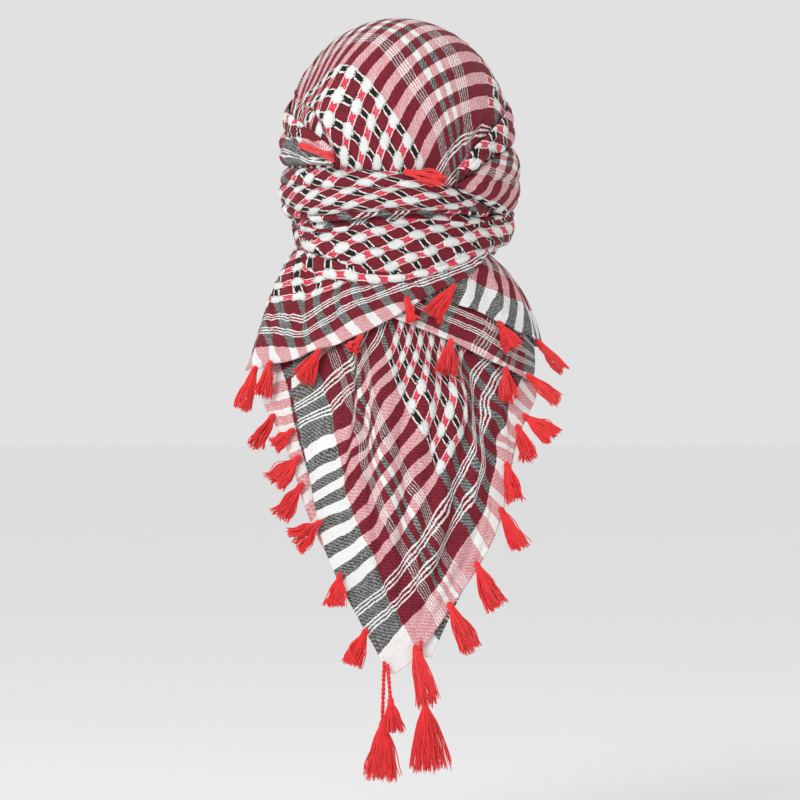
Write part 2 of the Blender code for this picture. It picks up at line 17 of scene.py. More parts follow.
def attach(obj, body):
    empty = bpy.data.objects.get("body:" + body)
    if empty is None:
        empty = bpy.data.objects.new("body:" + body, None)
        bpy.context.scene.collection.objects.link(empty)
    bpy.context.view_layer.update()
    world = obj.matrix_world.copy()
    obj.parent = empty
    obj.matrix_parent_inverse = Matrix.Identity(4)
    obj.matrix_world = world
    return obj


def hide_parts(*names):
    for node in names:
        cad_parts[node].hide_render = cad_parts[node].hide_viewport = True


bl_info = {
    "name": "Keffiyeh",
    "version": (1, 0, 0),
    "blender": (4, 5, 0),
    "location": "3D View > Sidebar > Keffiyeh",
    "description": "Builds a wound keffiyeh with its woven check and tassels",
    "category": "Object",
}

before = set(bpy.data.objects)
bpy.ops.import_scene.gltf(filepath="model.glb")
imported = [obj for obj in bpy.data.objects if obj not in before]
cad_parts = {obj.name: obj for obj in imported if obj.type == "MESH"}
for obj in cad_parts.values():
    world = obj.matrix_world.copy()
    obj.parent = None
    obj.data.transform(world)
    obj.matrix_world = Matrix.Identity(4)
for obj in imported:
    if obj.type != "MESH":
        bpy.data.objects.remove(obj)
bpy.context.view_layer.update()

MM = 0.001
CAD_WALL = 1.6  # wall of the frame's cloth nodes
ARC = 1.55  # millimetres round the head for one degree

# The general figure that the cloth lies on.
DOME_DROP = 95.0
DOME_ARC = DOME_DROP * np.pi / 2  # station of the widest ring
DOME = (88.0, 104.0, 98.0)  # half width, back, front

# Head, neck and shoulders below the widest ring: height, half width, back, front.
FIGURE = np.array(
    [
        (-95, 88, 104, 98),
        (-120, 87, 102, 98),
        (-140, 85, 96, 97),
        (-160, 78, 85, 95),
        (-175, 70, 76, 93),
        (-190, 69, 70, 89),
        (-205, 79, 67, 83),
        (-220, 87, 67, 75),
        (-240, 96, 70, 66),
        (-260, 104, 77, 64),
        (-280, 112, 86, 70),
        (-300, 125, 94, 80),
        (-340, 162, 104, 96),
        (-400, 195, 112, 108),
        (-460, 204, 117, 112),
        (-530, 206, 120, 114),
    ],
    float,
)

# Rolls and folds.
ROLL_POWER = 0.8  # below 1, a roll is steep beside its creases
ROLL_LIMIT = 0.36  # the most that a roll may rise, as a share of its height
DRAPE_OPEN = 0.7  # the share of a flap's height over which its drape folds open
CROWN_FOLD_START = 0.25  # the share of the way down over which a fold of the crown starts
CROWN_FOLD_NARROW = 0.6  # its width at the lower edge, as a share, and how much it opens upwards
CROWN_FOLD_OPENS = 0.8
CROWN_FADE = 12.0  # height over which the crown's folds die out under other cloth
HEM_AT = 1.4  # a rolled hem's middle from its edge, and its half width
HEM_HALF = 1.8
# Layers: how far the room for a rise is looked for, the share of a gap that may be used, and over how many
# steps of the grid a narrow place counts.
ROOM_FREE = 9.0
ROOM_SHARE = 0.4
ROOM_SPREAD = 3

# Crown: azimuth, height of its lower edge.
CROWN_EDGE = [(0, -152), (45, -158), (88, -158), (108, -126), (128, -98), (150, -76), (180, -64),
              (210, -76), (235, -98), (260, -122), (285, -138), (315, -148), (360, -152)]  # fmt: skip
# Its soft folds: azimuth at the lower edge, slant, half width, rise, how far up they reach as a share.
CROWN_FOLDS = [(38, 16, 7, 2.6, 0.50), (62, 14, 8, 2.2, 0.45), (292, -20, 8, 2.8, 0.50),
               (310, -18, 7, 2.6, 0.55), (325, -12, 6, 2.4, 0.45), (352, 10, 9, 1.6, 0.40),
               (14, 12, 9, 1.6, 0.40), (130, 8, 12, 1.6, 0.50), (228, -8, 12, 1.6, 0.50)]  # fmt: skip
# Where the crown goes under other cloth and lies flat: azimuth, height.
CROWN_SHOWN = [(0, -120), (20, -122), (30, -117), (40, -104), (52, -90), (68, -75), (90, -63),
               (112, -54), (140, -44), (180, -38), (220, -43), (248, -53), (270, -64), (285, -73),
               (302, -83), (315, -93), (326, -105), (335, -115), (360, -120)]  # fmt: skip

# Stretches wound round the head: azimuth, heights of the creases from the top one down.
BROW_ROLL = [
    (30, -125.5, -128.8, -132.0),
    (40, -109.0, -116.2, -123.4),
    (52, -94.2, -104.0, -112.3),
    (68, -79.7, -93.6, -105.4),
    (90, -68.0, -84.0, -99.0),
    (112, -59.0, -76.0, -92.0),
    (140, -49.0, -65.0, -81.0),
    (180, -43.0, -57.0, -71.0),
    (220, -48.0, -62.0, -76.0),
    (248, -58.0, -70.0, -82.0),
    (270, -69.0, -78.0, -87.0),
    (285, -77.0, -83.8, -90.6),
    (302, -86.7, -93.4, -99.8),
    (315, -96.8, -102.5, -108.2),
    (326, -109.3, -112.0, -114.8),
]
BROW_MIDDLE_LIFT = [(30, 3.4), (100, 3.4), (140, 5.6), (225, 5.6), (262, 3.4), (326, 3.4)]
BROW_LIFTS = (2.5, BROW_MIDDLE_LIFT, 2.5)
BROW_RISE = [(30, 2.4), (75, 2.0), (100, 1.6), (140, 4.6), (225, 4.6), (262, 1.6), (326, 2.2)]
BROW_RISES = (BROW_RISE, BROW_RISE)

CORNER_END = [
    (228, -88.0, -97.0, -106.0),
    (245, -86.0, -99.0, -112.0),
    (262, -88.6, -102.0, -115.2),
    (280, -93.2, -104.8, -116.4),
    (300, -103.0, -110.4, -118.0),
    (315, -112.4, -115.5, -118.6),
    (326, -118.3, -119.0, -119.8),
]
CORNER_LIFTS = (2.6, 4.6, 2.6)
CORNER_RISES = (2.8, 3.2)

UPPER_WRAP = [
    (-100, -120.3, -131.0, -143.5, -154.5),
    (-78, -120.3, -131.4, -146.5, -154.4),
    (-50, -122.6, -134.6, -155.5, -159.4),
    (-30, -124.2, -135.6, -154.0, -159.4),
    (0, -127.6, -136.9, -152.2, -155.3),
    (20, -133.8, -140.7, -151.8, -154.5),
    (31, -140.2, -145.0, -152.0, -154.5),
    (42, -145.8, -148.9, -152.9, -155.2),
    (53, -150.6, -152.4, -154.2, -156.0),
]
UPPER_LIFTS = (2.4, [(-100, 5.6), (-50, 7.4), (40, 7.4), (53, 5.8)], 7.4, 6.4)
UPPER_RISES = ([(-100, 2.0), (-60, 3.6), (53, 3.6)], [(-100, 2.0), (-60, 4.2), (53, 4.2)], 4.4)

RIGHT_WRAP = [
    (31, -135.4, -136.2, -137.0),
    (40, -127.2, -133.6, -142.0),
    (52, -116.2, -130.2, -147.4),
    (60, -111.6, -129.6, -151.8),
    (66, -108.6, -129.2, -153.6),
    (74, -106.0, -128.6, -152.4),
    (86, -103.2, -127.8, -149.2),
    (100, -101.5, -127.0, -148.0),
]
RIGHT_LIFTS = (2.6, 8.4, [(31, 5.4), (58, 5.4), (82, 8.4), (100, 9.0)])
RIGHT_RISES = (3.6, [(31, 4.0), (66, 3.4), (100, 2.0)])

LOWER_WRAP = [
    (-100, -156.5, -165.0, -179.5, -192.0, -279.0),
    (-88, -156.3, -164.6, -179.0, -191.5, -284.0),
    (-76, -156.7, -164.9, -181.0, -193.5, -285.0),
    (-64, -159.7, -167.1, -186.0, -199.0, -283.0),
    (-50, -162.2, -169.2, -192.6, -206.0, -278.5),
    (-37, -162.6, -169.3, -195.9, -210.0, -271.5),
    (-28, -162.0, -168.2, -198.1, -212.0, -266.0),
    (-19, -160.6, -167.0, -200.2, -213.0, -259.0),
    (-8, -158.6, -165.0, -202.2, -213.5, -248.0),
    (2, -157.3, -163.8, -202.2, -212.0, -237.0),
    (12, -156.9, -163.8, -201.0, -209.0, -225.0),
    (24, -157.0, -164.3, -198.0, -204.0, -216.0),
    (40, -158.4, -165.2, -191.5, -196.0, -205.8),
    (50, -159.2, -164.4, -186.5, -190.5, -199.0),
    (60, -158.0, -161.0, -183.0, -187.5, -194.0),
    (72, -154.8, -157.6, -181.0, -185.0, -190.5),
    (85, -151.4, -154.2, -180.5, -184.4, -189.0),
    (100, -150.2, -153.0, -180.5, -184.4, -189.0),
]
LOWER_TOP_LIFT = [(-100, 2.5), (46, 2.5), (66, 4.6), (84, 9.0), (100, 9.4)]
LOWER_CREASE_LIFT = [(-100, 6.4), (54, 6.4), (84, 10.4), (100, 10.6)]
LOWER_WAIST_LIFT = [(-100, 9.6), (-60, 10.0), (50, 10.4), (80, 9.0), (100, 9.0)]
LOWER_SWELL_LIFT = [(-100, 15.8), (-76, 14.5), (-50, 11.0), (50, 10.8), (80, 8.4), (100, 8.4)]
LOWER_HEM_LIFT = [(-100, 8.2), (-40, 8.6), (-4, 9.8), (12, 11.2), (56, 11.0), (80, 7.8), (100, 7.8)]
LOWER_LIFTS = (LOWER_TOP_LIFT, LOWER_CREASE_LIFT, LOWER_WAIST_LIFT, LOWER_SWELL_LIFT, LOWER_HEM_LIFT)
LOWER_ROLL_RISE = [(-100, 3.6), (-60, 5.6), (54, 5.6), (84, 7.0), (100, 7.0)]
LOWER_FLAP_RISE = [(-70, 0.0), (-20, 1.2), (20, 0.0)]
LOWER_RISES = (3.2, LOWER_ROLL_RISE, 0.8, LOWER_FLAP_RISE)
# Drape folds of a flap: azimuth at the top, azimuth at the hem, half width, rise.
LEFT_FLAP_FOLDS = [(-78, -72, 7, 2.4), (-56, -56, 8, 3.4), (-38, -34, 8, 3.4), (-16, -18, 6, 1.8)]

MASK = [
    (100.5, -101.8, -114.4, -127.0, -149.2, -181.0, -262.0),
    (120, -104.0, -116.5, -130.0, -152.0, -183.5, -263.0),
    (145, -110.0, -121.0, -134.0, -157.0, -188.5, -264.0),
    (165, -115.0, -126.0, -138.0, -161.0, -193.0, -265.0),
    (180, -117.0, -128.0, -140.0, -163.5, -195.5, -266.0),
    (195, -118.0, -129.0, -141.0, -163.5, -196.0, -268.0),
    (215, -119.0, -130.0, -141.5, -161.0, -194.0, -271.0),
    (240, -120.0, -131.0, -142.5, -158.0, -190.0, -276.0),
    (259.5, -120.3, -131.0, -142.5, -155.6, -188.0, -279.0),
]
MASK_LIFTS = (
    2.6,
    [(100, 9.8), (125, 8.0), (235, 7.4), (260, 5.6)],
    [(100, 8.4), (125, 7.4), (260, 7.4)],
    [(100, 9.2), (125, 7.0), (240, 5.8), (260, 5.4)],
    [(100, 1.0), (114, 1.2), (140, 7.0), (240, 9.0), (260, 10.0)],
    [(100, 1.0), (114, 1.0), (145, 4.0), (240, 7.4), (260, 8.6)],
)
MASK_RISES = (
    [(100, 1.0), (130, 3.4), (235, 3.4), (260, 2.0)],
    [(100, 1.2), (130, 3.8), (235, 3.8), (260, 2.0)],
    [(100, 3.0), (130, 4.6), (260, 4.4)],
    [(100, 8.0), (125, 6.0), (260, 5.8)],
    [(100, 0.0), (112, 0.0), (140, 3.0), (235, 3.0), (260, 2.4)],
)
MASK_FOLDS = [(132, 128, 9, 2.6), (158, 152, 9, 3.2), (184, 186, 10, 3.4), (210, 214, 9, 3.0),
              (236, 240, 9, 2.4)]  # fmt: skip

RIGHT_OVER = [
    (20, -209.0, -222.0),
    (27, -205.0, -230.0),
    (40, -197.8, -238.5),
    (50, -191.5, -248.0),
    (62, -187.5, -254.0),
    (75, -185.8, -259.5),
    (85, -185.4, -263.5),
    (94, -186.0, -264.0),
    (108, -192.0, -262.0),
]
RIGHT_OVER_TOP_LIFT = [(20, 8.8), (52, 8.4), (76, 3.0), (96, 3.2), (108, 4.4)]
RIGHT_OVER_HEM_LIFT = [(20, 8.8), (52, 9.0), (76, 7.8), (108, 6.0)]
RIGHT_OVER_LIFTS = (RIGHT_OVER_TOP_LIFT, RIGHT_OVER_HEM_LIFT)
RIGHT_OVER_RISES = ([(20, 0.0), (56, 0.6), (80, 5.0), (108, 3.6)],)
RIGHT_OVER_FOLDS = [(34, 33, 6, 1.6), (55, 52, 7, 2.4), (74, 70, 7, 2.4), (94, 92, 8, 2.4)]
RIGHT_UNDER = [
    (-8, -218.0, -237.0),
    (2, -214.0, -244.5),
    (13, -213.0, -253.5),
    (25, -215.0, -263.5),
    (34, -214.0, -272.5),
    (44, -212.0, -281.5),
    (52, -210.0, -289.0),
    (57, -209.0, -291.5),
    (63, -208.0, -285.0),
    (71, -207.0, -275.0),
    (80, -207.0, -264.5),
    (88, -207.0, -257.0),
    (99, -207.0, -254.0),
]
RIGHT_UNDER_TOP_LIFT = [(-8, 5.9), (50, 5.9), (72, 2.6), (99, 1.6)]
RIGHT_UNDER_HEM_LIFT = [(-8, 6.4), (57, 6.4), (80, 3.2), (99, 2.0)]
RIGHT_UNDER_LIFTS = (RIGHT_UNDER_TOP_LIFT, RIGHT_UNDER_HEM_LIFT)
RIGHT_UNDER_FOLDS = [(50, 46, 7, 0.8)]

# Tail, two layers: height, left edge, right edge.
TAIL_OVER = [
    (-172, -54, 55),
    (-192, -51, 53),
    (-232, -61, 69),
    (-261, -77, 90),
    (-289, -82, 105),
    (-303, -81, 106),
    (-318, -78, 99),
    (-334, -75, 92),
    (-350, -71, 88),
    (-370, -67, 84),
    (-392, -63, 80),
    (-411, -59, 73),
    (-435, -50, 60),
    (-457, -39, 45),
    (-479, -27, 30),
    (-497, -17, 17),
    (-508, -12, 7),
    (-515, -9, -3),
]
TAIL_OVER_LIFT = 2.7
PLEAT_OPEN = 40.0  # heights over which a pleat opens below its start and closes towards the tip
PLEAT_CLOSE = 90.0
# Pleats: share across at the top and at the bottom, half width as a share, rise, height of the start.
TAIL_PLEATS = [(0.16, 0.30, 0.085, 4.5, -268), (0.34, 0.42, 0.090, 7.5, -256),
               (0.52, 0.55, 0.085, 6.5, -262), (0.69, 0.64, 0.090, 8.0, -278),
               (0.85, 0.80, 0.080, 5.5, -296)]  # fmt: skip
TAIL_FLAT_BELOW = -500
TAIL_UNDER = [
    (-216, -51, 55),
    (-251, -86, 75),
    (-285, -108, 86),
    (-306, -106, 86),
    (-329, -93, 82),
    (-359, -81, 77),
    (-385, -73, 71),
    (-398, -68, 68),
    (-435, -47, 57),
    (-464, -21, 43),
    (-487, 4, 32),
    (-503, 19, 25),
]
TAIL_UNDER_LIFT = 0.0

# Woven check. From each of two edges of the square come a border, a plaid band and a field of raised pads,
# and then a second plaid band and the square's wide middle field. For each way: the border's width, the
# start of the second band, a band's width, a group of thin lines (from its middle, half width, pitch), how
# much of that pitch a line fills, the pitch of the pads, and the half width of their white yarn.
Way = namedtuple("Way", "border second plaid lines drawn pitch half")
WARP = Way(24.0, 383.0, 87.0, (18.5, 5.0, 2.0), 0.4, 17.0, 3.5)
WEFT = Way(12.0, 167.0, 48.0, (8.0, 4.0, 8.0 / 3), 0.45, 16.5, 4.0)
WHITE_BAR = (5.0, 2.2)  # from the middle of a band across the warp, half width
PAD_HALF = 4.5  # a pad's half height
PAD_REACH = 5.8  # and its half width, less a share of the distance from its middle line
PAD_SLANT = 0.55
PAD_ROUND = 3.4  # width of its rounded edge
PAD_FIBRES = (0.9, 0.12, 0.0)  # its fibres to the millimetre, across them and along
PAD_FRAY = 6.0  # how unevenly they end
BLOCK_HALF = 1.9  # half width of the black float between two pads of a column
BLOCK_WIDENS = 6.2  # within this distance of a row's middle it widens by a share
BLOCK_SLANT = 0.8
BLOCK_RIM = 0.8  # and it goes on round the pad as a rim
FLOAT_RISE = 0.35  # height of the black floats, as a share of a pad's, and width of their edges
FLOAT_ROUND = 1.5
STROKE_HALF = 0.55  # half width of the thin line beside a float, and how far from the row's middle it starts
STROKE_FROM = 5.0
RED_HALF = 2.5  # half height of the red cell beside a pad, and where the thin line round it ends
RED_LINE = 3.3

# How the cloth and the yarn are finished.
COTTON_SHADER = {"Roughness": 0.85, "Specular IOR Level": 0.2, "Sheen Weight": 0.05, "Sheen Roughness": 0.5}
YARN_SHADER = {"Roughness": 0.75, "Specular IOR Level": 0.3, "Sheen Weight": 0.35, "Sheen Roughness": 0.4}
STRAYS = ((90.0, 0.5, 0.0015), (420.0, 0.6, 0.0013))  # noise to the metre, its roughness, stray in metres
STREAK = 0.08  # how slowly a thread's streaks change along it, for 1 across
SPECKS = 0.9  # specks to the millimetre
CRUMPLES = 75.0  # small crumples, to the metre
GRAINS = (0.2, 1.3, 0.6)  # weights of the hatch, the specks and the streaks in the grain
# What each adds to the warp's share: thin lines of the weft and of the warp, white weft, grain, white warp.
SHARES = (-0.45, 0.30, 0.26, 0.6, -0.13)
SHARE_LEAST = 0.03  # of either yarn, anywhere
PATCHY = 0.7  # how far the red cells turn white with the grain, and the most that they do
PATCHY_MOST = 0.8
TONE = (0.5, 0.91)  # how much the grain lightens and darkens the threads, round an even tone
PAD_TONE = (0.35, 0.8)  # the same on a pad
FIBRE_SHADE = 2.6  # how much darker it is between a pad's fibres
GAP_SHADE = -0.4  # and between the lines of a group
PAD_RIM = (-0.2, 1.6)  # where the rim of a pad starts and ends, inwards from its edge
RELIEFS = (0.7, 0.35, 0.9, 2.2)  # millimetres: a pad's rim, the threads, a pad's fibres, the crumples
YARN_TWISTS = 900.0  # the twist of the tassels' yarn, to the metre
YARN_RELIEF = 0.3  # and its depth
STRAND_LIGHT = 0.5  # how much the strands differ in lightness, for 1 along them
PAPER_SHADER = {"Roughness": 0.9}
PAPER_CLOUDS = 3.0  # soft clouds in the floor's tone, to the metre, and how light they are
PAPER_SHADE = (0.02, 0.985)


def pins_in_rows(*rows):
    """Pins in rows of pads: the row's and its first column's distance, then a place for each column."""
    return [(*spot, first + WARP.pitch * k, v) for v, first, *spots in rows for k, spot in enumerate(spots)]


def pins_along(*lines):
    """Pins along lines across the warp: the line's distance, then places with the other distance."""
    return [(x, z, u, v) for u, *spots in lines for x, z, v in spots]


# Where points of the cloth lie: azimuth and height, then distance from the two edges of the square. On the
# tail, x stands for azimuth.
PIN_REACH = 45.0  # how far a pin pulls the pattern
PIN_SLACK = 0.01  # how loosely it holds it
CROWN_PINS = [
    (11, -119, 473.5, 219), (-2, -87, 473.5, 252), (-17, -60, 473.5, 285), (-39, -46, 473.5, 318),
    (-11, -120, 507.5, 252), (-28, -114, 524.5, 285), (-38, -85, 507.5, 301.5),
    (20, -92, 445, 219), (9, -61, 445, 252), (-4, -33, 445, 285), (-15, -23, 445, 301.5),
    (37, -75, 408, 219), (39, -38, 408, 252), (37, -21, 408, 268.5),
    (55, -70, 383, 219), (70, -34, 383, 252), (-46, -51, 473.5, 334.5), (-51, -60, 473.5, 351),
    (-55, -66, 473.5, 367.5), (-45, -64, 490.5, 318), (-46, -80, 507.5, 318), (-54, -69, 490.5, 334.5),
    (-22, -75, 490.5, 285), (-33, -67, 490.5, 301.5),
]  # fmt: skip
BROW_PINS = [(52, -104, 490.5, 235.5), (90, -84, 440, 268.5), (180, -57, 300, 300), (270, -78, 165, 300)]
CORNER_PINS = [(245, -90, 70, 8), (245, -108, 70, 30), (285, -94, 24, 10), (285, -114, 24, 34),
               (315, -115, 4, 26)]  # fmt: skip
UPPER_PINS = pins_in_rows(
    (163, 250.5, (-64, -132)),
    (146.5, 233.5, (-69, -147), (-54, -140), (-48, -130)),
    (130, 233.5, (-57, -151), (-44, -144), (-35, -137), (-30, -128)),
    (113.5, 233.5, (-47, -155), (-34, -148), (-23, -141), (-14, -135), (-11, -129), (-2, -127)),
    (97, 250.5, (-24, -152), (-13, -146), (-4, -140), (6, -137), (17, -134)),
    (80.5, 267.5, (-4, -152), (5, -149), (16, -144), (27, -143)),
    (64, 301.5, (26, -152), (36, -151)),
)  # fmt: skip
# Between the upper and the lower wrap another part of the cloth shows, from the second plaid band.
TUCK_PINS = [
    (-36, -161, 227, 210), (-30, -161, 231, 207), (-27, -158, 237, 207.5), (-18, -161, 240.5, 198),
    (-8, -159, 250.5, 191), (1, -159, 258, 184.5), (13, -158, 267.5, 174), (21, -157, 275, 169),
    (-21, -163, 237, 196), (6, -163, 256, 176), (23, -160, 270, 166),
]  # fmt: skip
RIGHT_PINS = [(53, -148, 473.5, 252), (60, -136, 453, 252), (73, -118, 430, 252), (48, -137, 458, 268.5),
              (55, -123, 440, 268.5), (37, -138, 465, 285), (46, -126, 447, 285)]  # fmt: skip
LOWER_PINS = pins_in_rows(
    (163, 233.5, (-67, -169)),
    (146.5, 216.5, (-59, -182), (-45, -176), (-35, -170)),
    (130, 216.5, (-44, -191), (-33, -184), (-22, -177), (-12, -171), (1, -166)),
    (113.5, 233.5, (-21, -194), (-12, -188), (-1, -182), (10, -174), (22, -170), (34, -166)),
    (97, 250.5, (-3, -199), (7, -192), (19, -187), (31, -181), (44, -176), (54, -172), (64, -170)),
    (80.5, 267.5, (11, -205), (22, -199), (37, -193), (54, -187), (67, -183)),
)  # fmt: skip
# Its lower folds show other parts of the cloth: the swell under the roll, and the flap.
SWELL_PINS = pins_in_rows(
    (97, 250.5, (-3, -199), (7, -192), (19, -187)),
    (88.75, 182.5, (-55, -197), (-41, -198), (-26, -199), (-14, -203)),
    (80.5, 182.5, (-48, -205), (-36, -205), (-24, -206), (-12, -208), (-1, -208), (11, -205), (22, -199),
     (37, -193), (54, -187), (67, -183)),
)  # fmt: skip
FLAP_PINS = pins_in_rows(
    (80.5, 165.5, (-55, -211)),
    (64, 165.5, (-50, -224), (-38, -220), (-28, -214)),
    (44, 148.5, (-54, -236), (-43, -239), (-36, -232), (-31, -224), (-22, -217)),
    (38, 233.5, (-9, -216)),
    (36, 131.5, (-74, -244), (-53, -245), (-41, -248), (-32, -239), (-27, -230), (-18, -223)),
    (28, 182.5, (-31, -245), (-25, -235), (-16, -229), (-7, -222), (2, -216), (12, -212), (23, -206),
     (36, -200), (53, -193)),
    (22, 284.5, (24, -211)),
    (20, 199.5, (-22, -240), (-13, -233), (-5, -228), (4, -222), (14, -219)),
    (6, 131.5, (-55, -266), (-44, -266), (-34, -264), (-26, -255), (-19, -246), (-11, -238), (-2, -230)),
)  # fmt: skip
MASK_PINS = [(110, -120, 420, 200), (180, -130, 300, 200), (250, -125, 200, 200), (110, -230, 440, 100),
             (180, -240, 310, 90), (250, -250, 130, 80)]  # fmt: skip
RIGHT_OVER_PINS = [(39, -210, 24, 163), (30, -228, 2, 163), (59, -223, 23, 130), (46, -241, 2, 130),
                   (78, -232, 22, 97), (74, -247, 2, 97)]  # fmt: skip
RIGHT_UNDER_PINS = [(1, -240, 150, 6), (12, -250, 125, 6), (23, -260, 105, 6), (38, -273, 75, 6),
                    (41, -250, 86, 38), (30, -259, 86, 12), (48, -269, 62.5, 28), (20, -240, 114.5, 28),
                    (59, -280, 8, 20), (24, -232, 114.5, 44)]  # fmt: skip
TAIL_PINS = pins_along(
    (0, (-35, -309, 199), (-31, -322, 183), (-24, -345, 163), (-21, -365, 146.5), (-19, -393, 113.5),
     (-14, -429, 80.5), (-10, -444, 64), (-8, -464, 44), (-6, -480, 28), (-2, -513, 0)),
    (24, (-26, -292, 199), (-20, -309, 183), (-18, -333, 163), (-15, -353, 146.5), (-13, -364, 130),
     (-11, -384, 113.5), (-9, -397, 97), (-7, -412, 80.5), (-5, -428, 64), (-3, -450, 44), (-1, -463, 28)),
    (45, (-13, -321, 163)),
    (49, (-25, -273, 207), (-22, -281, 199), (-18, -302, 183), (-15, -313, 173), (-9, -345, 130),
     (-6, -368, 105), (-5, -375, 97), (-3, -394, 80.5), (-1, -411, 64), (2, -424, 44), (4, -444, 28),
     (7, -463, 6)),
    (60, (-15, -287, 183)),
    (62.5, (-13, -312, 154.5), (-6, -353, 113.5), (-2, -374, 89), (1, -400, 64), (4, -417, 44),
     (6, -434, 28)),
    (72.5, (-18, -285, 191), (-12, -304, 154.5), (-4, -347, 113.5), (0, -374, 80.5), (3, -391, 64),
     (8, -429, 28)),
    (86, (-12, -289, 163), (-7, -312, 138), (-5, -321, 130), (-3, -336, 113.5), (0, -349, 97),
     (2, -366, 80.5), (5, -378, 64), (7, -400, 44), (9, -418, 28), (12, -435, 6)),
    (114.5, (-4, -270, 163), (-2, -281, 146.5), (1, -295, 130), (4, -310, 113.5), (7, -327, 97),
     (9, -343, 80.5), (10, -358, 64), (12, -375, 44), (14, -392, 28), (17, -409, 6)),
    (131.5, (13, -340, 64), (15, -361, 44), (17, -378, 28), (21, -394, 6)),
    (148.5, (14, -296, 97), (15, -313, 80.5), (17, -329, 64), (20, -364, 28), (23, -377, 6)),
    (165.5, (21, -314, 64), (24, -351, 18), (26, -355, 6)),
    (182.5, (23, -321, 36), (25, -325, 28), (27, -333, 18), (30, -341, 6)),
    (199.5, (25, -297, 44), (29, -310, 28), (30, -322, 18), (32, -330, 6)),
    (216.5, (25, -270, 64), (30, -284, 44), (33, -299, 28), (36, -309, 18), (37, -320, 6)),
    (233.5, (36, -275, 44), (40, -288, 28), (44, -308, 6)),
)  # fmt: skip
TAIL_UNDER_PINS = [(-46, -330, 190, 2), (-40, -300, 215, 14), (-15, -430, 90, 4), (10, -490, 12, 12),
                   (30, -420, 4, 80)]  # fmt: skip

CREASE_STEEP = 0.35  # the steep side's share of a crease's half width
CREASE_SLIP = 1.5  # cloth that a crease takes in, for each millimetre of its rise
CREASE_BOW = 0.03  # how far it bows, as a share of its length
CREASE_PAST = 0.12  # how far it runs on past its ends, and the share over which it dies out
CREASE_FADE = 0.35
CREASE_NARROW = 0.75  # its width at its first end, from where it opens to its second
CREASE_SLOPE = 1.2  # half widths over which the cloth slips in
CREASE_REACH = 5.0  # how far off the cloth slips: in half widths, or in lengths taken in
TAKEN_REACH = 2.8
# Soft creases and ridges, each along a line: azimuth and height of its ends, half width, rise, and
# for a deep one how much cloth it takes in.
CROWN_CREASES = [
    (-66, -68, -34, -112, 4, -2.4, 9), (-52, -74, -32, -117, 3, -1.6, 4), (-47, -84, -35, -106, 2.5, 1.6),
    (-76, -62, -48, -100, 4, -2.0, 5), (-40, -98, -20, -119, 4, -1.2), (34, -117, 52, -80, 4.5, -2.0, 5),
    (24, -120, 37, -90, 3.5, -1.4), (29, -119, 44, -84, 2.5, 1.4), (60, -82, 66, -52, 5, -1.6),
    (-62, -82, -42, -112, 2.5, 1.3), (-84, -56, -62, -84, 4, 1.4), (44, -112, 60, -78, 3, -1.3),
    (-100, -16, -66, -46, 8, -1.2), (98, -26, 116, -50, 9, -1.3), (150, -14, 168, -34, 9, -1.1),
    (196, -16, 214, -38, 8, -1.2), (236, -22, 250, -48, 7, -1.2), (78, -30, 84, -58, 7, -1.0),
    (-6, -118, 2, -92, 6, -0.6), (130, -24, 134, -42, 7, -0.9), (-88, -40, -78, -58, 5, 0.9),
]  # fmt: skip
BROW_CREASES = [
    (34, -119, 58, -96, 3, -0.9), (50, -108, 80, -92, 3, -0.8), (76, -80, 104, -72, 3, -0.9),
    (92, -94, 122, -80, 4, -1.0), (118, -62, 152, -56, 4, -1.2), (140, -76, 176, -66, 4, -1.1),
    (168, -50, 204, -52, 3, -1.0), (190, -68, 226, -72, 4, -1.2), (216, -56, 246, -66, 3, -1.0),
    (240, -76, 268, -80, 3, -0.8), (262, -76, 292, -84, 3, -0.7), (290, -92, 320, -106, 3, -0.7),
]  # fmt: skip
CORNER_CREASES = [
    (234, -94, 262, -97, 3, -1.0), (250, -106, 284, -108, 3, -1.1), (270, -97, 300, -107, 2.5, 0.9),
    (280, -101, 308, -113, 2.5, -1.0), (262, -102, 290, -103, 2.5, 0.8), (288, -112, 312, -116, 2, -0.7),
]  # fmt: skip
UPPER_CREASES = [
    (-98, -126, -66, -124, 3, -0.9), (-90, -137, -54, -129, 3, -1.1), (-84, -147, -60, -142, 3, -0.9),
    (-62, -133, -30, -139, 3, -1.0), (-56, -146, -24, -152, 3, -1.1), (-40, -128, -10, -131, 3, -0.8),
    (-28, -143, 2, -142, 3, -0.9), (-10, -150, 20, -149, 3, -0.9), (-4, -134, 22, -141, 3, -0.8),
    (14, -146, 40, -149, 2.5, -0.8), (-72, -152, -44, -157, 3, -0.8), (26, -152, 46, -153, 2, -0.6),
]  # fmt: skip
RIGHT_CREASES = [
    (36, -134, 58, -118, 3, -1.0), (42, -140, 66, -124, 3, -1.1), (50, -146, 72, -134, 3, -1.0),
    (62, -114, 84, -110, 4, -1.0), (70, -126, 96, -116, 4, -1.2), (76, -144, 98, -138, 4, -1.0),
    (58, -136, 78, -130, 2.5, 0.8),
]  # fmt: skip
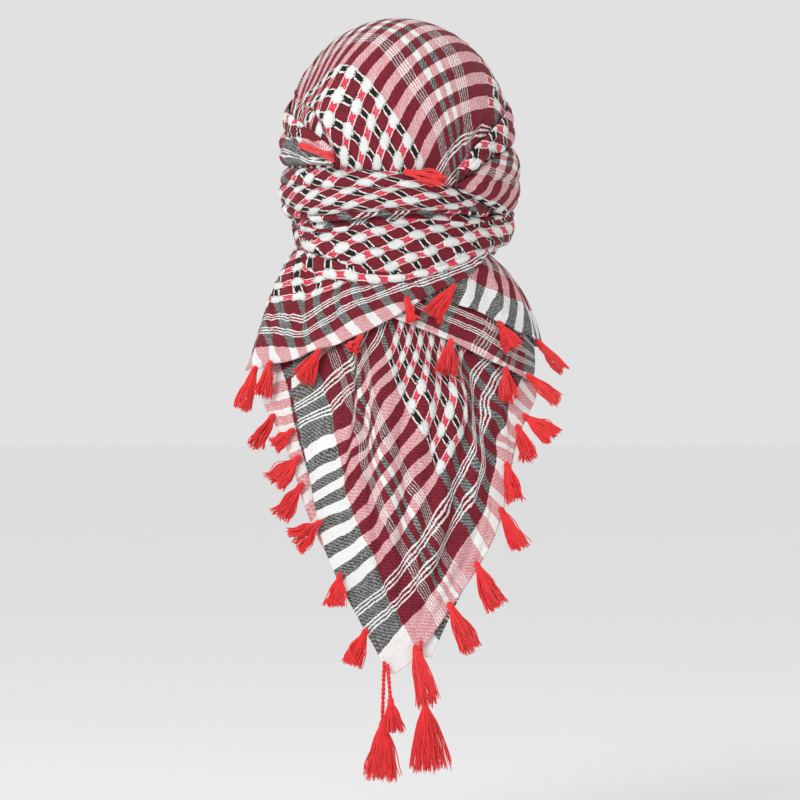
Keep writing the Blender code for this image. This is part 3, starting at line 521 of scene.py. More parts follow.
LOWER_CREASES = [
    (-80, -190, -18, -197, 3.5, -2.0), (-60, -186, -20, -191, 3, 0.8), (-67, -184, -46, -232, 3.5, 2.0, 5),
    (-74, -190, -53, -234, 4, -1.5), (-60, -188, -40, -222, 3, -1.2), (-54, -176, -16, -178, 4, -1.0),
    (-26, -182, 16, -186, 4, -0.9), (6, -168, 44, -174, 4, -1.0), (18, -182, 54, -178, 4, -1.1),
    (36, -164, 64, -168, 3, -0.9), (54, -172, 84, -168, 4, -1.1), (60, -180, 92, -176, 3, -0.9),
    (-96, -172, -62, -175, 4, -1.2), (-98, -184, -70, -190, 4, -1.0), (-88, -200, -78, -250, 6, -1.6),
    (-84, -206, -66, -262, 5, 1.2), (-50, -214, -44, -256, 5, -1.4), (-30, -212, -28, -250, 5, -1.4),
    (-20, -216, -12, -240, 4, 1.0), (-38, -224, -20, -214, 4, -0.9), (-6, -212, 10, -214, 3, -0.8),
    (54, -189, -24, -217, 2.5, -1.4), (-64, -228, -58, -268, 4, 1.0), (-24, -206, 20, -207, 3, -0.8),
]  # fmt: skip
MASK_CREASES = [
    (104, -118, 140, -120, 4, -1.1), (120, -132, 168, -136, 4, -1.3), (150, -112, 196, -120, 4, -1.0),
    (176, -150, 226, -146, 5, -1.5), (200, -128, 246, -132, 4, -1.1), (230, -148, 258, -146, 4, -1.2),
    (112, -160, 150, -172, 5, -1.4), (140, -178, 190, -176, 5, -1.3), (196, -172, 244, -176, 5, -1.4),
    (118, -190, 122, -250, 7, -1.6), (146, -196, 140, -256, 7, -1.5), (172, -204, 170, -258, 8, -1.7),
    (198, -200, 200, -262, 7, -1.5), (224, -196, 230, -264, 8, -1.7), (248, -196, 252, -266, 6, -1.4),
    (160, -210, 180, -226, 6, 1.0), (206, -214, 222, -236, 6, 1.0), (104, -200, 112, -254, 5, -1.0),
]  # fmt: skip
RIGHT_OVER_CREASES = [
    (44, -204, 38, -234, 4, -1.2), (60, -196, 52, -244, 4, -1.3), (68, -192, 64, -250, 5, 1.0),
    (84, -190, 84, -256, 5, -1.5), (100, -194, 104, -256, 5, -1.3), (48, -200, 60, -216, 3, -0.8),
]  # fmt: skip
RIGHT_UNDER_CREASES = [
    (14, -218, 8, -244, 4, -0.8), (34, -224, 28, -262, 4, -1.1), (52, -236, 46, -282, 4, -1.1),
    (40, -230, 38, -270, 4, 0.9), (66, -226, 64, -276, 4, -1.2), (84, -216, 84, -256, 5, -1.0),
]  # fmt: skip
# The same for the tail: x and height of the ends.
TAIL_CREASES = [
    (-33, -262, -41, -372, 3.5, -1.3, 9), (-25, -268, -33, -350, 5, 1.6), (-41, -272, -50, -350, 6, 1.4),
    (-21, -288, -24, -348, 2.5, -1.2, 4), (-14, -290, -18, -350, 4, 1.1), (64, -352, 47, -268, 7, 2.6, 22),
    (44, -300, 54, -350, 4, -1.3), (38, -362, 42, -384, 3, -1.2), (42, -384, 30, -430, 3.5, -1.2, 3),
    (48, -372, 40, -424, 4, 1.3), (-24, -366, -23, -388, 2.5, -1.0), (-9, -396, -5, -416, 3, -1.0),
    (-30, -355, -34, -400, 4, 1.2), (-15, -380, -8, -430, 5, 1.2), (62, -360, 52, -408, 4, -1.2, 3),
    (70, -380, 58, -430, 5, 1.2), (5, -300, 12, -370, 5, 1.0), (22, -330, 30, -380, 4, -0.9),
    (-2, -330, 6, -390, 4, -0.9), (14, -420, 8, -470, 4, 1.0), (-12, -440, -4, -480, 4, -0.9),
    (80, -310, 88, -350, 4, -1.0), (76, -290, 84, -330, 4, 1.0), (-52, -300, -48, -360, 4, -0.9),
    (-44, -370, -32, -440, 4, 0.9),
]  # fmt: skip
TAIL_UNDER_CREASES = [
    (-96, -290, -84, -350, 5, -1.2), (-78, -330, -66, -390, 5, -1.0), (66, -320, 62, -380, 5, -1.2),
    (40, -430, 30, -480, 5, -1.0), (-70, -280, -60, -330, 6, -1.0), (76, -290, 72, -340, 5, -1.0),
]  # fmt: skip

HEAD = 6.5  # length of a tassel's wound head
HEAD_RADIUS = 2.1
HEAD_TURNS = 5
HEAD_STEPS = 60
HEAD_YARN = 0.75  # radius of the yarn round it, and the share of the head's radius that its core has
HEAD_CORE = 0.8
HEAD_BULGE = (0.75, 0.3)  # its radius at its ends as a share, and how much more it has in the middle
CORD_TWIST = 7.0  # length of one turn of a cord
CORD_HALF = 0.75  # its two strands' distance from its middle, and their radius
CORD_YARN = 0.95
CORD_STEPS = 1.2  # points to the millimetre
# The skirt hangs in locks of about ten strands, and at least five. How much the locks and, more finely,
# the strands differ: the turn round the skirt in radians, the way out from its middle and the length as
# shares, the curl in millimetres and its start in radians.
LOCK_STRANDS = 10
FEWEST_LOCKS = 5
LOCK_TURN = 0.3
LOCK_INNER = 0.15
LOCK_CURL = 1.1
LOCK_SHORT = 0.16
STRAND_TURN = 0.3
STRAND_OUT = 0.14
STRAND_CURL = 0.45
STRAND_SHORT = 0.12
STRAND_PHASE = 0.35
STRAND_THICK = (0.8, 1.15)
SWAYS = 7.5  # radians of a strand's curl along its length
SKIRT_START = 0.95  # its half width under the head, for the head's radius
SKIRT_FLAT = 0.4  # how deep it spreads, for 1 across, and how deep its strands curl
CURL_FLAT = 0.5
# Along a strand of the skirt: share of its length, thickness as a share.
STRAND = [(-0.08, 1.2), (0.06, 1.1), (0.2, 1.0), (0.35, 1.0), (0.5, 1.0), (0.65, 1.0), (0.8, 0.95),
          (0.91, 0.85), (1.0, 0.55)]  # fmt: skip
# Tassels: name, root x and height, tip x and height, cord before the head, strands, spread at the tip.
TASSELS = [
    ("tuck_left", -77, -104, -47, -119, 0, 60, 1.6),
    ("tuck_mid", 5, -127, 38, -135, 0, 90, 3.0),
    ("left_hem_a", -62, -265, -76, -291, 0, 110, 7.0),
    ("left_hem_b", -29, -254, -38, -266, 0, 60, 4.0),
    ("left_corner_a", -101, -274, -106, -303, 0, 110, 7.0),
    ("left_corner_b", -113, -278, -125, -313, 0, 110, 5.0),
    ("under_left_a", -98, -316, -114, -341, 0, 100, 5.0),
    ("under_left_b", -82, -327, -98, -342, 0, 100, 5.0),
    ("under_left_c", -77, -348, -98, -370, 0, 110, 7.0),
    ("under_left_d", -75, -369, -94, -396, 0, 110, 7.0),
    ("tail_left_a", -60, -398, -83, -415, 0, 130, 9.0),
    ("tail_left_b", -45, -438, -50, -466, 0, 110, 6.5),
    ("tail_left_c", -25, -481, -37, -510, 0, 110, 6.0),
    ("tip_left_b", -11, -506, -14, -600, 46, 190, 12.0),
    ("tip_left_a", -8.4, -508, -4, -562, 26, 110, 6.5),
    ("tip_right_b", 17, -490, 24, -593, 48, 220, 14.0),
    ("tip_right_a", 13, -494, 24, -538, 0, 130, 6.5),
    ("tail_right_a", 39, -461, 57, -500, 0, 120, 6.5),
    ("tail_right_b", 60, -430, 77, -467, 0, 120, 6.5),
    ("tail_right_c", 79, -388, 95, -421, 0, 130, 6.5),
    ("tail_right_d", 84, -353, 90, -385, 0, 90, 4.5),
    ("tail_right_e", 93, -324, 101, -352, 0, 110, 6.0),
    ("tail_right_f", 98, -316, 122, -336, 0, 110, 7.0),
    ("right_hem_a", 41, -257, 36, -285, 0, 120, 7.5),
    ("right_hem_b", 84, -279, 86, -307, 0, 100, 5.5),
    ("right_hem_c", 101, -284, 128, -307, 0, 90, 3.5),
    ("right_over_a", 79, -243, 92, -265, 0, 100, 6.0),
    ("right_over_b", 44, -214, 24, -241, 0, 100, 6.0),
    ("right_over_c", 110, -257, 133, -283, 0, 70, 2.5),
    ("centre", 6, -224, 11, -244, 0, 70, 3.0),
]

# The camera: place in metres, lens and sensor in millimetres.
CAMERA_AT = (0.0, -3.5, -0.304)
LENS = 196.875
SENSOR = 36.0
SHIFT_X = 0.001875
# The floor's width and the key light's place, aim and width, in metres.
FLOOR_SIZE = 60.0
KEY_AT = (-1.5, -2.4, 1.3)
KEY_TOWARDS = (0.0, 0.0, -0.3)
KEY_SIZE = 1.3


# ---------------------------------------------------------------- form


def smooth(knots, values, at):
    """Values read from a curve without corners through the knots."""
    knots, values, at = (np.asarray(x, float) for x in (knots, values, at))
    slopes = np.gradient(values, knots)
    k = np.clip(np.searchsorted(knots, at) - 1, 0, len(knots) - 2)
    span = knots[k + 1] - knots[k]
    t = np.clip((at - knots[k]) / span, 0, 1)
    start = (1 + 2 * t) * (1 - t) ** 2 * values[k] + t * (1 - t) ** 2 * span * slopes[k]
    end = t * t * (3 - 2 * t) * values[k + 1] - t * t * (1 - t) * span * slopes[k + 1]
    return start + end


def along(values, azimuth):
    """A value that is one number all round, or is read from pairs of azimuth and value."""
    return values if np.isscalar(values) else smooth(*zip(*values), azimuth)


def bell(distance, half_width):
    """1 at the middle of a fold, falling smoothly to 0 at its half width."""
    t = np.clip(np.abs(distance) / half_width, 0, 1)
    return (1 - t * t) ** 2


def ease(t):
    """0 to 1, without a corner at either end."""
    t = np.clip(t, 0, 1)
    return t * t * (3 - 2 * t)


def arch(t):
    """The section of a roll of cloth, steep beside its creases."""
    return np.sin(np.pi * np.clip(t, 0, 1)) ** ROLL_POWER


def turned(azimuth):
    """A difference of azimuths as the short way round."""
    return (azimuth + 180) % 360 - 180


def paired(*values):
    """Values of any shapes that fit, together as the last axis of one array."""
    return np.stack(np.broadcast_arrays(*(np.asarray(x, float) for x in values)), axis=-1)


def lower_sizes(z):
    """Half width, back and front of the figure below its widest ring."""
    return [smooth(-FIGURE[:, 0], FIGURE[:, c], -z) for c in (1, 2, 3)]


def figure_size(z):
    """Half width, back and front of the figure at a height."""
    sine = np.sqrt(np.clip(1 - (1 + z / DOME_DROP) ** 2, 1e-9, 1))
    return [np.where(z < -DOME_DROP, low, size * sine) for low, size in zip(lower_sizes(z), DOME)]


def figure(azimuth, station):
    """Points on the figure. A station is the distance down the meridian from the top."""
    angle = np.clip(station / DOME_ARC, 0, 1) * np.pi / 2
    below = np.maximum(station - DOME_ARC, 0)
    z = -DOME_DROP * (1 - np.cos(angle)) - below
    sizes = [np.where(below > 0, low, size * np.sin(angle)) for low, size in zip(lower_sizes(z), DOME)]
    turn = np.radians(azimuth)
    depth = np.where(np.cos(turn) > 0, sizes[1], sizes[2])
    return np.stack([sizes[0] * np.sin(turn), -depth * np.cos(turn), z], axis=-1)


def station_of(z):
    """The station of a height."""
    z = np.asarray(z, float)
    on_dome = DOME_ARC * np.arccos(np.clip(1 + z / DOME_DROP, -1, 1)) / (np.pi / 2)
    return np.where(z > -DOME_DROP, on_dome, DOME_ARC - DOME_DROP - z)


def unit(vectors):
    """Vectors of length 1. One without a length points up."""
    length = np.linalg.norm(vectors, axis=-1, keepdims=True)
    return np.where(length > 1e-6, vectors / np.maximum(length, 1e-6), (0.0, 0.0, 1.0))


def lifted(azimuth, z, lift):
    """Points that lie a lift above the figure, along its outward normal."""
    azimuth, z, lift = np.broadcast_arrays(*(np.asarray(x, float) for x in (azimuth, z, lift)))
    station = station_of(z)
    around = figure(azimuth + 0.5, station) - figure(azimuth - 0.5, station)
    down = figure(azimuth, station + 0.5) - figure(azimuth, np.maximum(station - 0.5, 0))
    return figure(azimuth, station) + unit(np.cross(down, around)) * lift[..., None]


def place_of(points):
    """Azimuth and height of points near the figure."""
    x, y, z = np.moveaxis(points, -1, 0)
    half, back, front = figure_size(z)
    return np.degrees(np.arctan2(x / half, -y / np.where(y < 0, back, front))), z


def creased(plane, creases, to_plane):
    """Soft creases, each a line between two places: steep at one side and easy at the other.

    Gives the rise, and how far the cloth's pattern slips across each, where the crease takes some in.
    """
    total = np.zeros(plane.shape[:-1])
    slip = np.zeros(plane.shape)
    for x0, z0, x1, z1, width, rise, *deep in creases:
        taken = deep[0] if deep else CREASE_SLIP * abs(rise)
        start, end = to_plane(x0, z0), to_plane(x1, z1)
        run = end - start
        length = np.linalg.norm(run)
        away = plane - start
        t = away @ run / length**2
        off = (away[..., 0] * run[1] - away[..., 1] * run[0]) / length
        off = off + CREASE_BOW * length * np.sin(np.pi * np.clip(t, 0, 1))
        fade = ease((t + CREASE_PAST) / CREASE_FADE) * ease((1 + CREASE_PAST - t) / CREASE_FADE)
        wide = width * (CREASE_NARROW + (2 - 2 * CREASE_NARROW) * t)
        total = total + rise * bell(off, np.where(off > 0, wide, wide * CREASE_STEEP)) * fade
        reach = np.maximum(CREASE_REACH * wide, TAKEN_REACH * taken)
        moved = taken * ease(off / (CREASE_SLOPE * wide) + 0.5) * bell(off, reach) * fade
        slip = slip + moved[..., None] * np.array([run[1], -run[0]]) / length
    return total, slip


def round_plane(azimuth, z):
    """Azimuth and height as millimetres round the head and down it."""
    return paired(np.asarray(azimuth) * ARC, z)


def top_plane(azimuth, z):
    """The dome spread flat: each point at its distance from the top."""
    station = station_of(z)
    turn = np.radians(azimuth)
    return paired(station * np.sin(turn), -station * np.cos(turn))


def crown_form(rows, columns, creases):
    """The cloth over the top of the head, closed all round, and its places on a flat plane."""
    azimuth = np.linspace(0, 360, columns, endpoint=False)[None, :]
    share = np.linspace(0, 1, rows)[:, None]
    station = station_of(smooth(*zip(*CROWN_EDGE), azimuth)) * share
    z = figure(azimuth, station)[..., 2]
    lift = np.zeros_like(z)
    for at, slant, width, rise, reach in CROWN_FOLDS:
        away = turned(azimuth - at - slant * (1 - share))
        opened = width * (CROWN_FOLD_NARROW + CROWN_FOLD_OPENS * (1 - share))
        lift += rise * bell(away, opened) * ease((share - 1 + reach) / CROWN_FOLD_START)
    rise, slip = creased(top_plane(azimuth, z), creases, top_plane)
    lift = (lift + rise) * ease((z - smooth(*zip(*CROWN_SHOWN), azimuth)) / CROWN_FADE)
    return lifted(azimuth, z, lift), top_plane(azimuth, z) + slip


def wound_form(sections, lifts, rises, rows_per_fold, columns, creases, drapes=()):
    """A stretch wound round the figure: between two creases the cloth rises in a roll."""
    table = np.array(sections, float)
    azimuth = np.linspace(table[0, 0], table[-1, 0], columns)
    levels = [smooth(table[:, 0], table[:, c], azimuth) for c in range(1, table.shape[1])]
    lifts = [along(lift, azimuth) for lift in lifts]
    points, slips = [], []
    last = len(rises) - 1
    for fold, (rise, count) in enumerate(zip(rises, rows_per_fold)):
        top, bottom = levels[fold], levels[fold + 1]
        full = np.minimum(along(rise, azimuth), ROLL_LIMIT * (top - bottom))
        for step in range(count + (fold == last)):
            t = step / count
            z = top + (bottom - top) * t
            lift = lifts[fold] + (lifts[fold + 1] - lifts[fold]) * t + full * arch(t)
            if fold == last:
                lift = lift + draped(azimuth, t, drapes)
            rise, slip = creased(round_plane(azimuth, z), creases, round_plane)
            points.append(lifted(azimuth, z, lift + rise))
            slips.append(slip)
    points = np.array(points)
    down = np.linalg.norm(np.diff(points, axis=0), axis=-1)
    length = np.vstack([np.zeros(columns), np.cumsum(down, axis=0)])
    length -= length[len(length) // 2]
    middle = points[len(points) // 2, :, 2]
    return points, paired(azimuth * ARC, middle - length) + np.array(slips)


def draped(azimuth, t, folds):
    """The rise of drape folds that open towards the hem."""
    total = np.zeros_like(azimuth)
    for at_top, at_hem, width, rise in folds:
        middle = at_top + (at_hem - at_top) * t
        total += rise * ease(t / DRAPE_OPEN) * bell(azimuth - middle, width)
    return total


def tail_form(sections, base, pleats, rows, columns, creases):
    """A layer of the tail, with pleats that run down it."""
    table = np.array(sections, float)
    z = np.linspace(table[0, 0], table[-1, 0], rows)[:, None]
    left, right = (smooth(-table[:, 0], table[:, c], -z) for c in (1, 2))
    share = np.linspace(0, 1, columns)[None, :]
    x = left + (right - left) * share
    half = smooth(-FIGURE[:, 0], FIGURE[:, 1], -z)
    azimuth = np.degrees(np.arcsin(np.clip(x / half, -0.98, 0.98)))
    lift = np.full_like(x, base)
    drop = (z - z[0]) / (z[-1] - z[0])
    for at_top, at_bottom, width, rise, start in pleats:
        middle = at_top + (at_bottom - at_top) * drop
        depth = rise * ease((start - z) / PLEAT_OPEN) * ease((z - TAIL_FLAT_BELOW) / PLEAT_CLOSE)
        lift = lift + depth * bell(share - middle, width)
    rise, slip = creased(paired(x, z), creases, paired)
    points = lifted(azimuth, z, lift + rise)
    run = np.linalg.norm(np.diff(points, axis=1), axis=-1)
    length = np.hstack([np.zeros((rows, 1)), np.cumsum(run, axis=1)])
    length -= length[:, columns // 2][:, None]
    middle = points[:, columns // 2, 0][:, None]
    return points, paired(middle + length, z) + slip


# ---------------------------------------------------------------- cloth


def cloth_map(points, domain, pins):
    """Distances from the square's two edges at each point: an even map through the pins, eased to each."""
    azimuth, height = place_of(points)
    pins = np.array(pins, float)
    flat = domain.reshape(-1, 2)
    nearest = [
        np.argmin((turned(azimuth - at) * ARC) ** 2 + (height - z) ** 2) for at, z in pins[:, :2]
    ]
    spots = flat[nearest]
    even = np.linalg.lstsq(np.column_stack([spots, np.ones(len(spots))]), pins[:, 2:], rcond=None)[0]
    base = np.column_stack([flat, np.ones(len(flat))]) @ even
    left = pins[:, 2:] - base[nearest]

    def pull(a, b):
        gap = np.linalg.norm(a[:, None] - b[None], axis=-1) / PIN_REACH
        return (1 + gap) * np.exp(-gap)

    weights = np.linalg.solve(pull(spots, spots) + PIN_SLACK * np.eye(len(spots)), left)
    return (base + pull(flat, spots) @ weights).reshape(domain.shape)


def pad_height(u, v):
    """0 to 1: the soft white pads of the field and, lower, the black floats between them."""
    field, away = True, []
    for distance, way in ((u, WARP), (v, WEFT)):
        run = distance - np.where(distance > way.second, way.second, way.border) - way.plaid
        field = field & (run > 0) & (distance > way.border)
        away.append(np.abs((run - way.half + way.pitch / 2) % way.pitch - way.pitch / 2))
    dx, dy = away
    inside = np.minimum(PAD_HALF - dy, PAD_REACH - dx - PAD_SLANT * dy)
    pads = np.sqrt(ease((inside + 0.5) / PAD_ROUND))
    floats = FLOAT_RISE * ease((WARP.half + 0.4 - dx) / FLOAT_ROUND) * ease((dy - WEFT.half) / FLOAT_ROUND)
    return np.where(field, np.maximum(pads, floats), 0)


def normals_of(points, closed):
    """Outward normals of a grid of points."""
    if closed:
        across = np.roll(points, -1, axis=1) - np.roll(points, 1, axis=1)
    else:
        across = np.gradient(points, axis=1)
    return unit(np.cross(np.gradient(points, axis=0), across))


def other_cloth(own):
    """One tree of every cloth node of the frame but this one."""
    verts, faces = [], []
    for name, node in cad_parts.items():
        if name == own or name.startswith("tassel_"):
            continue
        start = len(verts)
        verts.extend(v.co for v in node.data.vertices)
        faces.extend([start + i for i in p.vertices] for p in node.data.polygons)
    return BVHTree.FromPolygons(verts, faces)


def rooms(points, normals, own):
    """How far each point may rise and sink before it comes near the next layer of cloth."""
    tree = other_cloth(own)
    spare = CAD_WALL - bpy.context.scene.keffiyeh_cloth.wall / MM
    up, down = np.full((2, *points.shape[:2]), ROOM_FREE)
    for index in np.ndindex(points.shape[:2]):
        start = Vector(points[index] * MM)
        direction = Vector(normals[index])
        hit = tree.ray_cast(start, direction, ROOM_FREE * MM)[3]
        if hit is not None:
            up[index] = max(0.0, spare + ROOM_SHARE * (hit / MM - CAD_WALL))
        hit = tree.ray_cast(start, -direction, ROOM_FREE * MM)[3]
        if hit is not None:
            down[index] = ROOM_SHARE * hit / MM
    for field in (up, down):
        for _ in range(ROOM_SPREAD):
            low = field.copy()
            low[1:] = np.minimum(low[1:], field[:-1])
            low[:-1] = np.minimum(low[:-1], field[1:])
            low[:, 1:] = np.minimum(low[:, 1:], field[:, :-1])
            low[:, :-1] = np.minimum(low[:, :-1], field[:, 1:])
            field[:] = low
    return up, down


def edge_distance(points, sides):
    """Distance from the nearest of the named edges, in millimetres."""
    rows, columns = points.shape[:2]
    down = np.linalg.norm(np.diff(points, axis=0), axis=-1)
    across = np.linalg.norm(np.diff(points, axis=1), axis=-1)
    distances = {
        "bottom": np.vstack([np.cumsum(down[::-1], axis=0)[::-1], np.zeros(columns)]),
        "left": np.hstack([np.zeros((rows, 1)), np.cumsum(across, axis=1)]),
        "right": np.hstack([np.cumsum(across[:, ::-1], axis=1)[:, ::-1], np.zeros((rows, 1))]),
    }
    return np.minimum.reduce([distances[side] for side in sides])


def add_sheet(name, form, pins, sides=(), closed=False, tucks=()):
    """One stretch of cloth on its node's place: folds, raised pads, rolled hem, cloth coordinates and wall.

    Where a fold hides part of the cloth, each of the tucks gives the rows below it and their own pins.
    """
    cloth = bpy.context.scene.keffiyeh_cloth
    points, domain = form
    normals = normals_of(points, closed)
    up, down = rooms(points, normals, name)
    parts = [(part, cloth_map(points, domain, more)) for part, more in ((slice(None), pins), *tucks)]
    rise = np.zeros(points.shape[:2])
    for part, flat in parts:
        rise[part] = cloth.pad_rise / MM * pad_height(flat[part][..., 0], flat[part][..., 1])
    if sides:
        rise = rise + cloth.hem_roll / MM * bell(edge_distance(points, sides) - HEM_AT, HEM_HALF)
    points = points + normals * np.clip(rise, -down, up)[..., None]
    rows, columns = points.shape[:2]
    index = np.arange(rows * columns).reshape(rows, columns)
    right = np.roll(index, -1, axis=1) if closed else index[:, 1:]
    kept = index if closed else index[:, :-1]
    quads = np.stack([kept[:-1], kept[1:], right[1:], right[:-1]], axis=-1).reshape(-1, 4)
    faces = quads[columns:].tolist() + [index[1].tolist()] if closed else quads.tolist()
    mesh = bpy.data.meshes.new(name)
    mesh.from_pydata((points.reshape(-1, 3) * MM).tolist(), [], faces)
    corner = np.zeros(len(mesh.loops), int)
    mesh.loops.foreach_get("vertex_index", corner)
    row = np.arange(len(corner)) // (4 * (columns - 1))
    cut = parts[0][1].reshape(-1, 2)[corner]
    for part, flat in parts[1:]:
        inside = np.isin(row, np.arange(rows)[part])
        cut[inside] = flat.reshape(-1, 2)[corner][inside]
    mesh.uv_layers.new(name="cloth").data.foreach_set("uv", (cut * MM).ravel())
    mesh.materials.append(material("woven_cotton"))
    mesh.shade_smooth()
    made = bpy.data.objects.new("cloth_" + name, mesh)
    bpy.context.scene.collection.objects.link(made)
    if closed:
        bpy.ops.object.select_all(action="DESELECT")
        bpy.context.view_layer.objects.active = made
        bpy.ops.object.mode_set(mode="EDIT")
        bpy.ops.mesh.select_all(action="SELECT")
        bpy.ops.mesh.delete_loose()
        bpy.ops.object.mode_set(mode="OBJECT")
    wall = made.modifiers.new("wall", "SOLIDIFY")
    wall.thickness = cloth.wall
    wall.offset = 1.0
    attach(made, "root")
    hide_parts(name)
    return made


# ---------------------------------------------------------------- finishes


def linear(code):
    """A colour from its sRGB hex code, as linear values."""
    parts = [int(code[i : i + 2], 16) / 255 for i in (1, 3, 5)]
    return (*(c / 12.92 if c <= 0.04045 else ((c + 0.055) / 1.055) ** 2.4 for c in parts), 1.0)


def add_node(tree, kind, *inputs, output=None, **settings):
    """Adds a node with its settings, gives its inputs in order a value or a link, and returns an output.

    A kind may have its operation after a dot, as in Math.ADD. A noise takes its place, scale, detail and
    roughness, and a bump its strength, distance, filter width and height.
    """
    kind, _, operation = kind.partition(".")
    made = tree.nodes.new("ShaderNode" + kind)
    row, column = divmod(len(tree.nodes), 12)  # laid out in rows of twelve
    made.location = (180 * column - 2200, 600 - 160 * row)
    if operation:
        made.operation = operation
    for key, value in settings.items():
        setattr(made, key, value)
    sockets = [s for s in made.inputs if s.enabled]
    for socket, value in zip(sockets, inputs):
        if isinstance(value, bpy.types.NodeSocket):
            tree.links.new(value, socket)
        elif value is not None:
            socket.default_value = value
    return next(s for s in made.outputs if s.enabled and output in (None, s.name))


def new_material(name, constants):
    """A material whose shader has its all-over constants, with the function that adds its nodes."""
    made = bpy.data.materials.new(name)
    made.use_nodes = True
    shader = made.node_tree.nodes["Principled BSDF"]
    for socket, value in constants.items():
        shader.inputs[socket].default_value = value
    return made, shader, partial(add_node, made.node_tree)


def check_along(node, distance, way):
    """The check along one of the cloth's two ways, from the distance to its edge.

    Gives the groups of thin lines, the lines, the distance from a plaid band's middle, the border, where
    the pads' field lies, the distance from the middle of the nearest column or row of pads, and its yarn.
    """
    beyond = node("Math.MULTIPLY", node("Math.GREATER_THAN", distance, way.second), way.second - way.border)
    run = node("Math.SUBTRACT", node("Math.SUBTRACT", distance, way.border), beyond)
    from_middle = node("Math.ABSOLUTE", node("Math.SUBTRACT", run, way.plaid / 2))
    middle, half, pitch = way.lines
    group = node("Math.COMPARE", from_middle, middle, half)
    step = node("Math.FLOORED_MODULO", node("Math.SUBTRACT", from_middle, middle - half), pitch)
    lines = node("Math.MULTIPLY", group, node("Math.LESS_THAN", step, pitch * way.drawn))
    field = node("Math.GREATER_THAN", run, way.plaid)
    border = node("Math.LESS_THAN", distance, way.border)
    offset = node("Math.ADD", run, way.pitch / 2 - way.half - way.plaid)
    offset = node("Math.FLOORED_MODULO", offset, way.pitch)
    away = node("Math.ABSOLUTE", node("Math.SUBTRACT", offset, way.pitch / 2))
    pads = node("Math.MULTIPLY", node("Math.LESS_THAN", away, way.half), field)
    return group, lines, from_middle, border, field, away, pads


